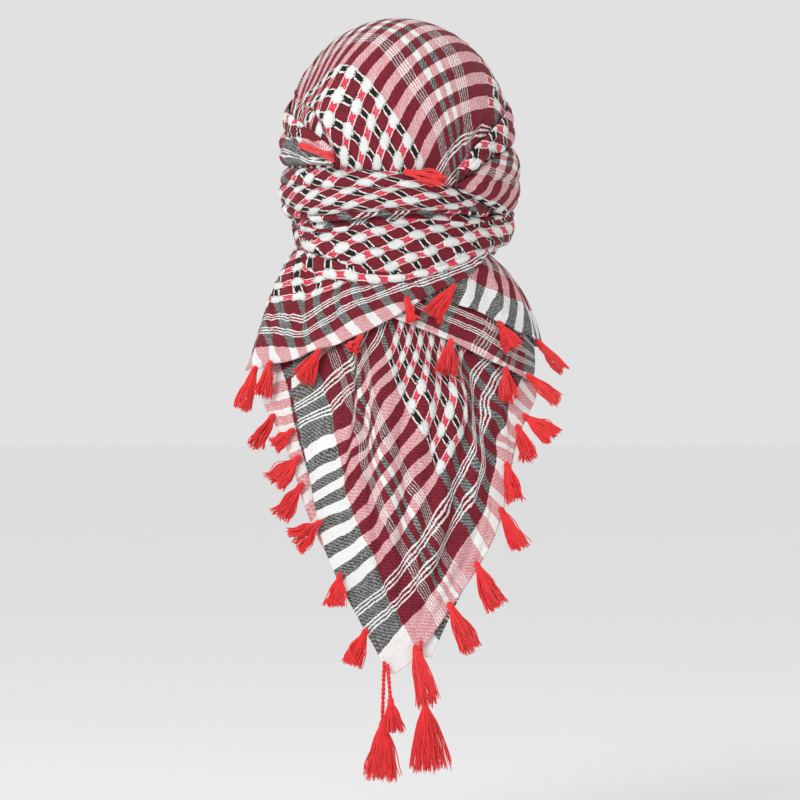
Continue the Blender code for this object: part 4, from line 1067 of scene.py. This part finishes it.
def woven_cotton(name):
    """Plain woven cotton in red, black and white yarn, with a field of raised white pads.

    Each spot shows the warp's yarn or the weft's, so that red crossed by black reads as maroon, red
    crossed by white as pink and white crossed by black as grey. The threads are drawn at about five
    times their real spacing, so that they show. The face is dry and slightly hairy: no gloss.
    """
    cloth = bpy.context.scene.keffiyeh_cloth
    made, shader, node = new_material(name, COTTON_SHADER)
    white, black = linear(cloth.white), linear(cloth.black)

    # Distances from the cloth's two edges in millimetres, strayed a little as a loose weave strays.
    flat = node("UVMap", uv_map="cloth")
    place = flat
    for scale, roughness, stray in STRAYS:
        noise = node("TexNoise", flat, scale, 2.0, roughness, noise_dimensions="2D", output="Color")
        noise = node("VectorMath.SUBTRACT", noise, (0.5, 0.5, 0.5))
        place = node("VectorMath.ADD", place, node("VectorMath.MULTIPLY", noise, (stray, stray, 0.0)))
    place = node("VectorMath.MULTIPLY", place, (1 / MM, 1 / MM, 0.0))
    u = node("SeparateXYZ", place, output="X")
    v = node("SeparateXYZ", place, output="Y")

    # Across the warp come white bars, thin lines and columns of pads, and across the weft lines and rows.
    group, lines_u, from_middle, border_u, in_columns, dx, column = check_along(node, u, WARP)
    _, lines_v, _, border_v, in_rows, dy, row = check_along(node, v, WEFT)
    bars = node("Math.COMPARE", from_middle, *WHITE_BAR)
    white_warp = node("Math.MAXIMUM", node("Math.MAXIMUM", bars, lines_u), border_u)
    white_warp = node("Math.MAXIMUM", white_warp, column)

    # The field, where the columns cross the rows: a pad's fibres run across its row and end unevenly.
    across = node("VectorMath.MULTIPLY", place, PAD_FIBRES)
    fibre = node("TexNoise", across, 1.0, 2.0, 0.6, noise_dimensions="2D")
    loose = node("Math.SUBTRACT", fibre, 0.5)
    inside = node("Math.MULTIPLY", node("Math.SUBTRACT", 1.0, border_u), node("Math.SUBTRACT", 1.0, border_v))
    field = node("Math.MULTIPLY", node("Math.MULTIPLY", in_columns, in_rows), inside)
    reach = node("Math.MULTIPLY_ADD", dy, PAD_SLANT, dx)
    end = node("Math.MULTIPLY_ADD", loose, PAD_FRAY, PAD_HALF)
    pad = node("Math.MULTIPLY", node("Math.LESS_THAN", dy, end), node("Math.LESS_THAN", reach, PAD_REACH))
    pad = node("Math.MULTIPLY", pad, field)
    # Between two pads of a column the black floats widen towards them, and between the columns lie red
    # cells, with a thin white line round each.
    dark_row = node("Math.MULTIPLY", node("Math.GREATER_THAN", dy, RED_LINE), field)
    cell = node("Math.MULTIPLY", node("Math.LESS_THAN", dy, RED_HALF), field)
    thin = node("Math.SUBTRACT", node("Math.SUBTRACT", field, dark_row), cell)
    wider = node("Math.MAXIMUM", node("Math.SUBTRACT", BLOCK_WIDENS, dy), 0.0)
    wider = node("Math.MULTIPLY", wider, BLOCK_SLANT)
    block = node("Math.LESS_THAN", node("Math.SUBTRACT", dx, wider), BLOCK_HALF)
    block = node("Math.MAXIMUM", block, node("Math.LESS_THAN", reach, PAD_REACH + BLOCK_RIM))
    block = node("Math.MULTIPLY", block, dark_row)
    stroke = node("Math.COMPARE", dx, BLOCK_HALF + STROKE_HALF, STROKE_HALF)
    stroke = node("Math.MULTIPLY", stroke, node("Math.GREATER_THAN", dy, STROKE_FROM))
    stroke = node("Math.MULTIPLY", stroke, dark_row)
    outside = node("Math.SUBTRACT", 1.0, field)
    white_weft = node("Math.MAXIMUM", lines_v, node("Math.MULTIPLY", row, outside))
    white_weft = node("Math.MAXIMUM", white_weft, border_v)
    white_warp = node("Math.MULTIPLY", white_warp, node("Math.SUBTRACT", 1.0, dark_row))

    # Threads: a fine slanting hatch, specks, and streaks along the yarns.
    hatch = node("Math.MULTIPLY", node("Math.ADD", u, v), 2 * np.pi / cloth.thread_pitch * MM)
    streaks = -1.0
    for stretch in ((1.0, STREAK, 0.0), (STREAK, 1.0, 0.0)):
        yarns = node("VectorMath.MULTIPLY", place, stretch)
        streak = node("TexNoise", yarns, 1.0, 2.0, 0.6, noise_dimensions="2D")
        streaks = node("Math.ADD", streak, streaks)
    speck = node("TexNoise", place, SPECKS, 2.0, 0.8, noise_dimensions="2D")
    threads = (node("Math.SINE", hatch), node("Math.SUBTRACT", speck, 0.5), streaks)
    grain = 0.0
    for thread, weight in zip(threads, GRAINS):
        grain = node("Math.MULTIPLY_ADD", thread, weight, grain)

    # The share of the warp's yarn in what shows; a line's own yarn covers the other.
    share = cloth.warp_share
    for spots, more in zip((lines_v, lines_u, white_weft, grain, white_warp), SHARES):
        share = node("Math.MULTIPLY_ADD", spots, more, share)
    share = node("Math.MINIMUM", node("Math.MAXIMUM", share, SHARE_LEAST), 1 - SHARE_LEAST)
    warp_yarn = node("Mix", white_warp, linear(cloth.red_warp), white, data_type="RGBA")
    weft_yarn = node("Mix", white_weft, black, white, data_type="RGBA")
    colour = node("Mix", share, weft_yarn, warp_yarn, data_type="RGBA")
    patchy = node("Math.MAXIMUM", node("Math.MULTIPLY", grain, PATCHY), 0.0)
    patchy = node("Math.MINIMUM", patchy, PATCHY_MOST)
    red_yarn = node("Mix", patchy, linear(cloth.red), white, data_type="RGBA")
    strokes = node("Math.MAXIMUM", thin, stroke)
    for spots, yarn in ((block, black), (cell, red_yarn), (strokes, linear(cloth.thin_line)), (pad, white)):
        colour = node("Mix", spots, colour, yarn, data_type="RGBA")

    # Lighter and darker threads, dark gaps between a group's lines, and shade between a pad's fibres.
    tone = node("Math.MULTIPLY_ADD", grain, *TONE)
    gaps = node("Math.MULTIPLY", node("Math.SUBTRACT", group, lines_u), outside)
    tone = node("Math.MULTIPLY", tone, node("Math.MULTIPLY_ADD", gaps, GAP_SHADE, 1.0))
    padded = node("Math.MULTIPLY_ADD", loose, FIBRE_SHADE, node("Math.MULTIPLY_ADD", grain, *PAD_TONE))
    tone = node("Math.MULTIPLY_ADD", node("Math.SUBTRACT", padded, tone), pad, tone)
    colour = node("VectorMath.SCALE", colour, None, None, tone)
    made.node_tree.links.new(colour, shader.inputs["Base Color"])

    # Relief in millimetres: the pads' crisp edge over the soft form, then the threads and small crumples.
    rim = node("Math.MINIMUM", node("Math.SUBTRACT", end, dy), node("Math.SUBTRACT", PAD_REACH, reach))
    rim = node("Math.MULTIPLY", node("MapRange", rim, *PAD_RIM, interpolation_type="SMOOTHSTEP"), field)
    crumple = node("TexNoise", flat, CRUMPLES, 3.0, 0.55, noise_dimensions="2D")
    relief = 0.0
    for form, depth in zip((rim, grain, node("Math.MULTIPLY", fibre, pad), crumple), RELIEFS):
        relief = node("Math.MULTIPLY_ADD", form, depth, relief)
    made.node_tree.links.new(node("Bump", 1.0, MM, None, relief), shader.inputs["Normal"])
    return made


def cotton_yarn(name):
    """Soft cotton yarn in bright red: matt strands with a hairy sheen, each a little lighter or darker."""
    tassel = bpy.context.scene.keffiyeh_tassels
    made, shader, node = new_material(name, YARN_SHADER)
    strand = node("NewGeometry", output="Random Per Island")
    twist = node("TexNoise", node("TexCoord", output="Object"), YARN_TWISTS, 2.0, 0.6)
    light = node("Math.MULTIPLY_ADD", strand, STRAND_LIGHT, twist)
    colour = node("Mix", light, linear(tassel.deep), linear(tassel.bright), data_type="RGBA")
    made.node_tree.links.new(colour, shader.inputs["Base Color"])
    made.node_tree.links.new(node("Bump", 0.4, YARN_RELIEF * MM, None, twist), shader.inputs["Normal"])
    return made


def seamless_paper(name):
    """Matt seamless paper, very slightly uneven in tone."""
    stage = bpy.context.scene.keffiyeh_stage
    made, shader, node = new_material(name, PAPER_SHADER)
    cloud = node("TexNoise", node("TexCoord", output="Object"), PAPER_CLOUDS, 2.0, 0.5)
    shade = node("Math.MULTIPLY_ADD", cloud, *PAPER_SHADE)
    tone = node("VectorMath.SCALE", linear(stage.paper)[:3], None, None, shade)
    made.node_tree.links.new(tone, shader.inputs["Base Color"])
    return made


def material(name):
    """The material of this name, made the first time that it is asked for."""
    makers = {"woven_cotton": woven_cotton, "cotton_yarn": cotton_yarn, "seamless_paper": seamless_paper}
    return bpy.data.materials.get(name) or makers[name](name)


# ---------------------------------------------------------------- tassels


def tassel_line(name, root, tip):
    """Start and end of a tassel, at the depth of its node in the frame."""
    co = np.array([v.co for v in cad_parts["tassel_" + name].data.vertices], float) / MM
    run = np.array(tip, float) - root
    share = (co[:, [0, 2]] - root) @ run / (run @ run)
    slope, start = np.polyfit(share, co[:, 1], 1)
    return np.array([root[0], start, root[1]]), np.array([tip[0], start + slope, tip[1]])


def add_tassel(name, root, tip, cord, strands, spread):
    """A head wound with yarn and a skirt of loose strands in locks, on a twisted cord where it has one."""
    settings = bpy.context.scene.keffiyeh_tassels
    noise = np.random.default_rng(sum(map(ord, name)))
    start, end = tassel_line(name, np.array(root, float), tip)
    axis = (end - start) / np.linalg.norm(end - start)
    side = np.cross(axis, (0.0, 1.0, 0.0))
    side /= np.linalg.norm(side)
    face = np.cross(side, axis)

    def coil(turns):
        return np.cos(turns)[:, None] * side + np.sin(turns)[:, None] * face

    lines = []
    if cord:
        turns = np.linspace(0, cord / CORD_TWIST * 2 * np.pi, int(cord * CORD_STEPS))
        steps = np.linspace(0, cord, len(turns))[:, None]
        for phase in (0, np.pi):
            lines.append((start + axis * steps + coil(turns + phase) * CORD_HALF, CORD_YARN))
    head_at = start + axis * cord
    turns = np.linspace(0, HEAD_TURNS * 2 * np.pi, HEAD_STEPS)
    ends, more = HEAD_BULGE
    bulge = HEAD_RADIUS * (ends + more * np.sin(np.linspace(0.15, 0.9, HEAD_STEPS) * np.pi))[:, None]
    wound = head_at + axis * np.linspace(0.6, HEAD, HEAD_STEPS)[:, None] + coil(turns) * bulge
    lines.append((wound, HEAD_YARN))
    core = head_at + axis * np.array([[-1.0], [HEAD / 2], [HEAD + 1]])
    lines.append((core, HEAD_RADIUS * HEAD_CORE))

    # The skirt: each lock has its own place, curl and length, and its strands stray a little from it.
    length = np.linalg.norm(end - start) - cord - HEAD
    locks = max(FEWEST_LOCKS, strands // LOCK_STRANDS)
    lock_turn = np.linspace(0, 2 * np.pi, locks, endpoint=False)
    lock_turn = lock_turn + noise.uniform(-LOCK_TURN, LOCK_TURN, locks)
    lock_out = np.sqrt(noise.uniform(LOCK_INNER, 1.0, locks))
    lock_curl = noise.normal(0, LOCK_CURL, (locks, 2))
    lock_phase = noise.uniform(0, 2 * np.pi, locks)
    lock_full = 1 - LOCK_SHORT * noise.uniform(0, 1, locks) ** 1.5
    shares, tapers = np.array(STRAND).T
    flare = (shares.clip(0) ** 0.6)[:, None]
    for number in range(strands):
        lock = number % locks
        turn = lock_turn[lock] + noise.normal(0, STRAND_TURN)
        out = np.clip(lock_out[lock] + noise.normal(0, STRAND_OUT), 0.05, 1.15)
        wide, deep = np.cos(turn) * out, np.sin(turn) * out
        full = length * lock_full[lock] * (1 - noise.uniform(0, STRAND_SHORT))
        line = head_at + axis * (HEAD + full * shares[:, None])
        line = line + side * wide * (HEAD_RADIUS * SKIRT_START + flare * spread)
        line = line + face * deep * (HEAD_RADIUS * SKIRT_START + flare * spread * SKIRT_FLAT)
        phase = lock_phase[lock] + noise.normal(0, STRAND_PHASE)
        sway = (np.sin(shares * SWAYS + phase) - np.sin(phase))[:, None] * flare
        curl = lock_curl[lock] + noise.normal(0, STRAND_CURL, 2)
        line = line + sway * (side * curl[0] + face * curl[1] * CURL_FLAT)
        lines.append((line, settings.strand / MM * noise.uniform(*STRAND_THICK) * tapers))

    curve = bpy.data.curves.new("yarn_" + name, "CURVE")
    curve.dimensions = "3D"
    curve.bevel_depth = MM
    curve.bevel_resolution = 0
    curve.use_fill_caps = True
    for line, thick in lines:
        spline = curve.splines.new("POLY")
        spline.points.add(len(line) - 1)
        spline.points.foreach_set("co", np.column_stack([line * MM, np.ones(len(line))]).ravel())
        spline.points.foreach_set("radius", np.full(len(line), thick))
    made = bpy.data.objects.new("yarn_" + name, curve)
    bpy.context.scene.collection.objects.link(made)
    bpy.ops.object.select_all(action="DESELECT")
    made.select_set(True)
    bpy.context.view_layer.objects.active = made
    bpy.ops.object.convert(target="MESH")
    made = bpy.context.view_layer.objects.active
    made.data.materials.clear()
    made.data.materials.append(material("cotton_yarn"))
    made.data.shade_smooth()
    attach(made, "root")
    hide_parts("tassel_" + name)
    return made


# ---------------------------------------------------------------- settings


class KeffiyehCloth(bpy.types.PropertyGroup):
    """Sizes and colours of the cloth"""

    wall: bpy.props.FloatProperty(
        name="Wall", description="Thickness of the cloth", default=0.001, min=0.0005, max=0.0016,
        unit="LENGTH", subtype="DISTANCE",
    )  # fmt: skip
    pad_rise: bpy.props.FloatProperty(
        name="Pad rise", description="How far the white pads stand above the weave", default=0.0011,
        min=0.0, max=0.003, unit="LENGTH", subtype="DISTANCE",
    )  # fmt: skip
    hem_roll: bpy.props.FloatProperty(
        name="Hem roll", description="How far the turned hem stands above the weave", default=0.0006,
        min=0.0, max=0.002, unit="LENGTH", subtype="DISTANCE",
    )  # fmt: skip
    thread_pitch: bpy.props.FloatProperty(
        name="Thread pitch", description="Spacing of the drawn threads", default=0.0028,
        min=0.0005, max=0.004, unit="LENGTH", subtype="DISTANCE",
    )  # fmt: skip
    warp_share: bpy.props.FloatProperty(
        name="Warp share", description="Share of the warp's yarn in what shows", default=0.31,
        min=0.0, max=1.0, subtype="FACTOR",
    )  # fmt: skip
    white: bpy.props.StringProperty(
        name="White", description="sRGB code of the white yarn", default="#eeefed",
    )  # fmt: skip
    black: bpy.props.StringProperty(
        name="Black", description="sRGB code of the black yarn", default="#191d1d",
    )  # fmt: skip
    red_warp: bpy.props.StringProperty(
        name="Red warp", description="sRGB code of the red warp yarn", default="#cd2746",
    )  # fmt: skip
    red: bpy.props.StringProperty(
        name="Red", description="sRGB code of the red yarn between the pads", default="#dc2f4e",
    )  # fmt: skip
    thin_line: bpy.props.StringProperty(
        name="Thin line", description="sRGB code of the single white ends", default="#f4e6e0",
    )  # fmt: skip


class KeffiyehTassels(bpy.types.PropertyGroup):
    """Sizes and colours of the tassels"""

    strand: bpy.props.FloatProperty(
        name="Strand", description="Radius of one strand of yarn", default=0.00042, min=0.0002,
        max=0.001, unit="LENGTH", subtype="DISTANCE",
    )  # fmt: skip
    bright: bpy.props.StringProperty(
        name="Bright", description="sRGB code of the lightest strands", default="#fa3a3c",
    )  # fmt: skip
    deep: bpy.props.StringProperty(
        name="Deep", description="sRGB code of the darkest strands", default="#d41f28",
    )  # fmt: skip


class KeffiyehStage(bpy.types.PropertyGroup):
    """Floor and light"""

    floor: bpy.props.FloatProperty(
        name="Floor", description="Height of the floor", default=-0.66, unit="LENGTH", subtype="DISTANCE",
    )  # fmt: skip
    key: bpy.props.FloatProperty(
        name="Key", description="Power of the large soft light behind the camera", default=42.0,
        unit="POWER", subtype="POWER",
    )  # fmt: skip
    room: bpy.props.FloatProperty(
        name="Room", description="Strength of the light from all round", default=0.75, min=0.0,
        subtype="FACTOR",
    )  # fmt: skip
    paper: bpy.props.StringProperty(
        name="Paper", description="sRGB code of the paper on the floor", default="#fafafa",
    )  # fmt: skip


# ---------------------------------------------------------------- operators


class KEFFIYEH_OT_crown(bpy.types.Operator):
    """Lays the cloth over the top of the head"""

    bl_idname = "keffiyeh.crown"
    bl_label = "Crown"

    def execute(self, context):
        form = crown_form(rows=112, columns=330, creases=CROWN_CREASES)
        made = add_sheet("crown", form, CROWN_PINS, closed=True)
        return {"FINISHED"}


class KEFFIYEH_OT_brow_roll(bpy.types.Operator):
    """Winds the folded edge across the forehead and tucks its ends at the back"""

    bl_idname = "keffiyeh.brow_roll"
    bl_label = "Brow roll"

    def execute(self, context):
        form = wound_form(
            BROW_ROLL, BROW_LIFTS, BROW_RISES,
            rows_per_fold=(10, 10), columns=260, creases=BROW_CREASES,
        )  # fmt: skip
        made = add_sheet("brow_roll", form, BROW_PINS)
        form = wound_form(
            CORNER_END, CORNER_LIFTS, CORNER_RISES,
            rows_per_fold=(9, 9), columns=90, creases=CORNER_CREASES,
        )  # fmt: skip
        made = add_sheet("corner_end", form, CORNER_PINS)
        return {"FINISHED"}


class KEFFIYEH_OT_wraps(bpy.types.Operator):
    """Winds the cloth across the back of the head: the upper, right and lower stretches"""

    bl_idname = "keffiyeh.wraps"
    bl_label = "Wraps"

    def execute(self, context):
        form = wound_form(
            UPPER_WRAP, UPPER_LIFTS, UPPER_RISES,
            rows_per_fold=(9, 9, 9), columns=160, creases=UPPER_CREASES,
        )  # fmt: skip
        tucks = [(slice(18, None), TUCK_PINS)]  # its last fold
        made = add_sheet("upper_wrap", form, UPPER_PINS, tucks=tucks)
        form = wound_form(
            RIGHT_WRAP, RIGHT_LIFTS, RIGHT_RISES,
            rows_per_fold=(14, 14), columns=80, creases=RIGHT_CREASES,
        )  # fmt: skip
        made = add_sheet("right_wrap", form, RIGHT_PINS)
        form = wound_form(
            LOWER_WRAP, LOWER_LIFTS, LOWER_RISES,
            rows_per_fold=(6, 26, 8, 50), columns=210, creases=LOWER_CREASES, drapes=LEFT_FLAP_FOLDS,
        )  # fmt: skip
        # The upper half of its first fold, and its last two folds.
        tucks = [(slice(0, 3), TUCK_PINS), (slice(32, 40), SWELL_PINS), (slice(40, None), FLAP_PINS)]
        made = add_sheet("lower_wrap", form, LOWER_PINS, ("bottom",), tucks=tucks)
        return {"FINISHED"}


class KEFFIYEH_OT_mask(bpy.types.Operator):
    """Winds the cloth across the nose, mouth and chin"""

    bl_idname = "keffiyeh.mask"
    bl_label = "Mask"

    def execute(self, context):
        form = wound_form(
            MASK, MASK_LIFTS, MASK_RISES,
            rows_per_fold=(9, 9, 15, 22, 50), columns=150, creases=MASK_CREASES, drapes=MASK_FOLDS,
        )  # fmt: skip
        made = add_sheet("mask", form, MASK_PINS, ("bottom",))
        return {"FINISHED"}


class KEFFIYEH_OT_right_flaps(bpy.types.Operator):
    """Hangs the two flaps at the right, under the lower wrap"""

    bl_idname = "keffiyeh.right_flaps"
    bl_label = "Right flaps"

    def execute(self, context):
        form = wound_form(
            RIGHT_OVER, RIGHT_OVER_LIFTS, RIGHT_OVER_RISES,
            rows_per_fold=(44,), columns=90, creases=RIGHT_OVER_CREASES, drapes=RIGHT_OVER_FOLDS,
        )  # fmt: skip
        made = add_sheet("right_flap_over", form, RIGHT_OVER_PINS, ("bottom",))
        form = wound_form(
            RIGHT_UNDER, RIGHT_UNDER_LIFTS, (0.0,),
            rows_per_fold=(46,), columns=100, creases=RIGHT_UNDER_CREASES, drapes=RIGHT_UNDER_FOLDS,
        )  # fmt: skip
        made = add_sheet("right_flap_under", form, RIGHT_UNDER_PINS, ("bottom",))
        return {"FINISHED"}


class KEFFIYEH_OT_tail(bpy.types.Operator):
    """Hangs the square's corner down the back in its two layers"""

    bl_idname = "keffiyeh.tail"
    bl_label = "Tail"

    def execute(self, context):
        form = tail_form(TAIL_OVER, TAIL_OVER_LIFT, TAIL_PLEATS, rows=210, columns=120, creases=TAIL_CREASES)
        made = add_sheet("tail_over", form, TAIL_PINS, ("left", "right", "bottom"))
        form = tail_form(TAIL_UNDER, TAIL_UNDER_LIFT, (), rows=150, columns=90, creases=TAIL_UNDER_CREASES)
        made = add_sheet("tail_under", form, TAIL_UNDER_PINS, ("left", "right"))
        return {"FINISHED"}


class KEFFIYEH_OT_tassels(bpy.types.Operator):
    """Ties the yarn tassels along the hems"""

    bl_idname = "keffiyeh.tassels"
    bl_label = "Tassels"

    def execute(self, context):
        for name, root_x, root_z, tip_x, tip_z, cord, strands, spread in TASSELS:
            add_tassel(name, (root_x, root_z), (tip_x, tip_z), cord, strands, spread)
        return {"FINISHED"}


class KEFFIYEH_OT_stage(bpy.types.Operator):
    """Sets the floor, the lights and the camera"""

    bl_idname = "keffiyeh.stage"
    bl_label = "Stage"

    def execute(self, context):
        scene = context.scene
        stage = scene.keffiyeh_stage
        bpy.ops.object.select_all(action="DESELECT")
        bpy.ops.mesh.primitive_plane_add(size=1)
        floor = context.object
        floor.name = "floor"
        bpy.ops.object.mode_set(mode="EDIT")
        bpy.ops.transform.resize(value=(FLOOR_SIZE, FLOOR_SIZE, 1.0))
        bpy.ops.transform.translate(value=(0.0, 0.0, stage.floor))
        bpy.ops.object.mode_set(mode="OBJECT")
        floor.data.materials.append(material("seamless_paper"))
        bpy.ops.object.light_add(type="AREA", location=KEY_AT)
        key = context.object
        key.data.energy = stage.key
        key.data.size = KEY_SIZE
        key.rotation_euler = (Vector(KEY_TOWARDS) - key.location).to_track_quat("-Z", "Y").to_euler()
        world = bpy.data.worlds.new("studio")
        world.use_nodes = True
        world.node_tree.nodes["Background"].inputs["Color"].default_value = (1.0, 1.0, 1.0, 1.0)
        world.node_tree.nodes["Background"].inputs["Strength"].default_value = stage.room
        scene.world = world
        bpy.ops.object.camera_add(location=CAMERA_AT, rotation=(np.pi / 2, 0, 0))
        camera = context.object
        camera.data.sensor_width = SENSOR
        camera.data.lens = LENS
        camera.data.shift_x = SHIFT_X
        scene.camera = camera
        scene.view_settings.view_transform = "Standard"
        return {"FINISHED"}


class KEFFIYEH_PT_panel(bpy.types.Panel):
    """Lists the steps that build the keffiyeh"""

    bl_idname = "KEFFIYEH_PT_panel"
    bl_label = "Keffiyeh"
    bl_space_type = "VIEW_3D"
    bl_region_type = "UI"
    bl_category = "Keffiyeh"

    def draw(self, context):
        for step in STEPS:
            self.layout.operator(step.bl_idname)
        for name in ("wall", "pad_rise", "hem_roll", "thread_pitch"):
            self.layout.prop(context.scene.keffiyeh_cloth, name)


STEPS = (
    KEFFIYEH_OT_crown,
    KEFFIYEH_OT_brow_roll,
    KEFFIYEH_OT_wraps,
    KEFFIYEH_OT_mask,
    KEFFIYEH_OT_right_flaps,
    KEFFIYEH_OT_tail,
    KEFFIYEH_OT_tassels,
    KEFFIYEH_OT_stage,
)
GROUPS = {
    "keffiyeh_cloth": KeffiyehCloth,
    "keffiyeh_tassels": KeffiyehTassels,
    "keffiyeh_stage": KeffiyehStage,
}


def register():
    """Registers the settings, the steps and the panel."""
    for name, group in GROUPS.items():
        bpy.utils.register_class(group)
        setattr(bpy.types.Scene, name, bpy.props.PointerProperty(type=group))
    for step in STEPS:
        bpy.utils.register_class(step)
    bpy.utils.register_class(KEFFIYEH_PT_panel)


def unregister():
    """Takes them away again, in the opposite order."""
    bpy.utils.unregister_class(KEFFIYEH_PT_panel)
    for step in reversed(STEPS):
        bpy.utils.unregister_class(step)
    for name, group in reversed(GROUPS.items()):
        delattr(bpy.types.Scene, name)
        bpy.utils.unregister_class(group)


def main():
    """Runs every step in order."""
    register()
    bpy.ops.keffiyeh.crown()
    bpy.ops.keffiyeh.brow_roll()
    bpy.ops.keffiyeh.wraps()
    bpy.ops.keffiyeh.mask()
    bpy.ops.keffiyeh.right_flaps()
    bpy.ops.keffiyeh.tail()
    bpy.ops.keffiyeh.tassels()
    bpy.ops.keffiyeh.stage()


if __name__ == "__main__":
    main()
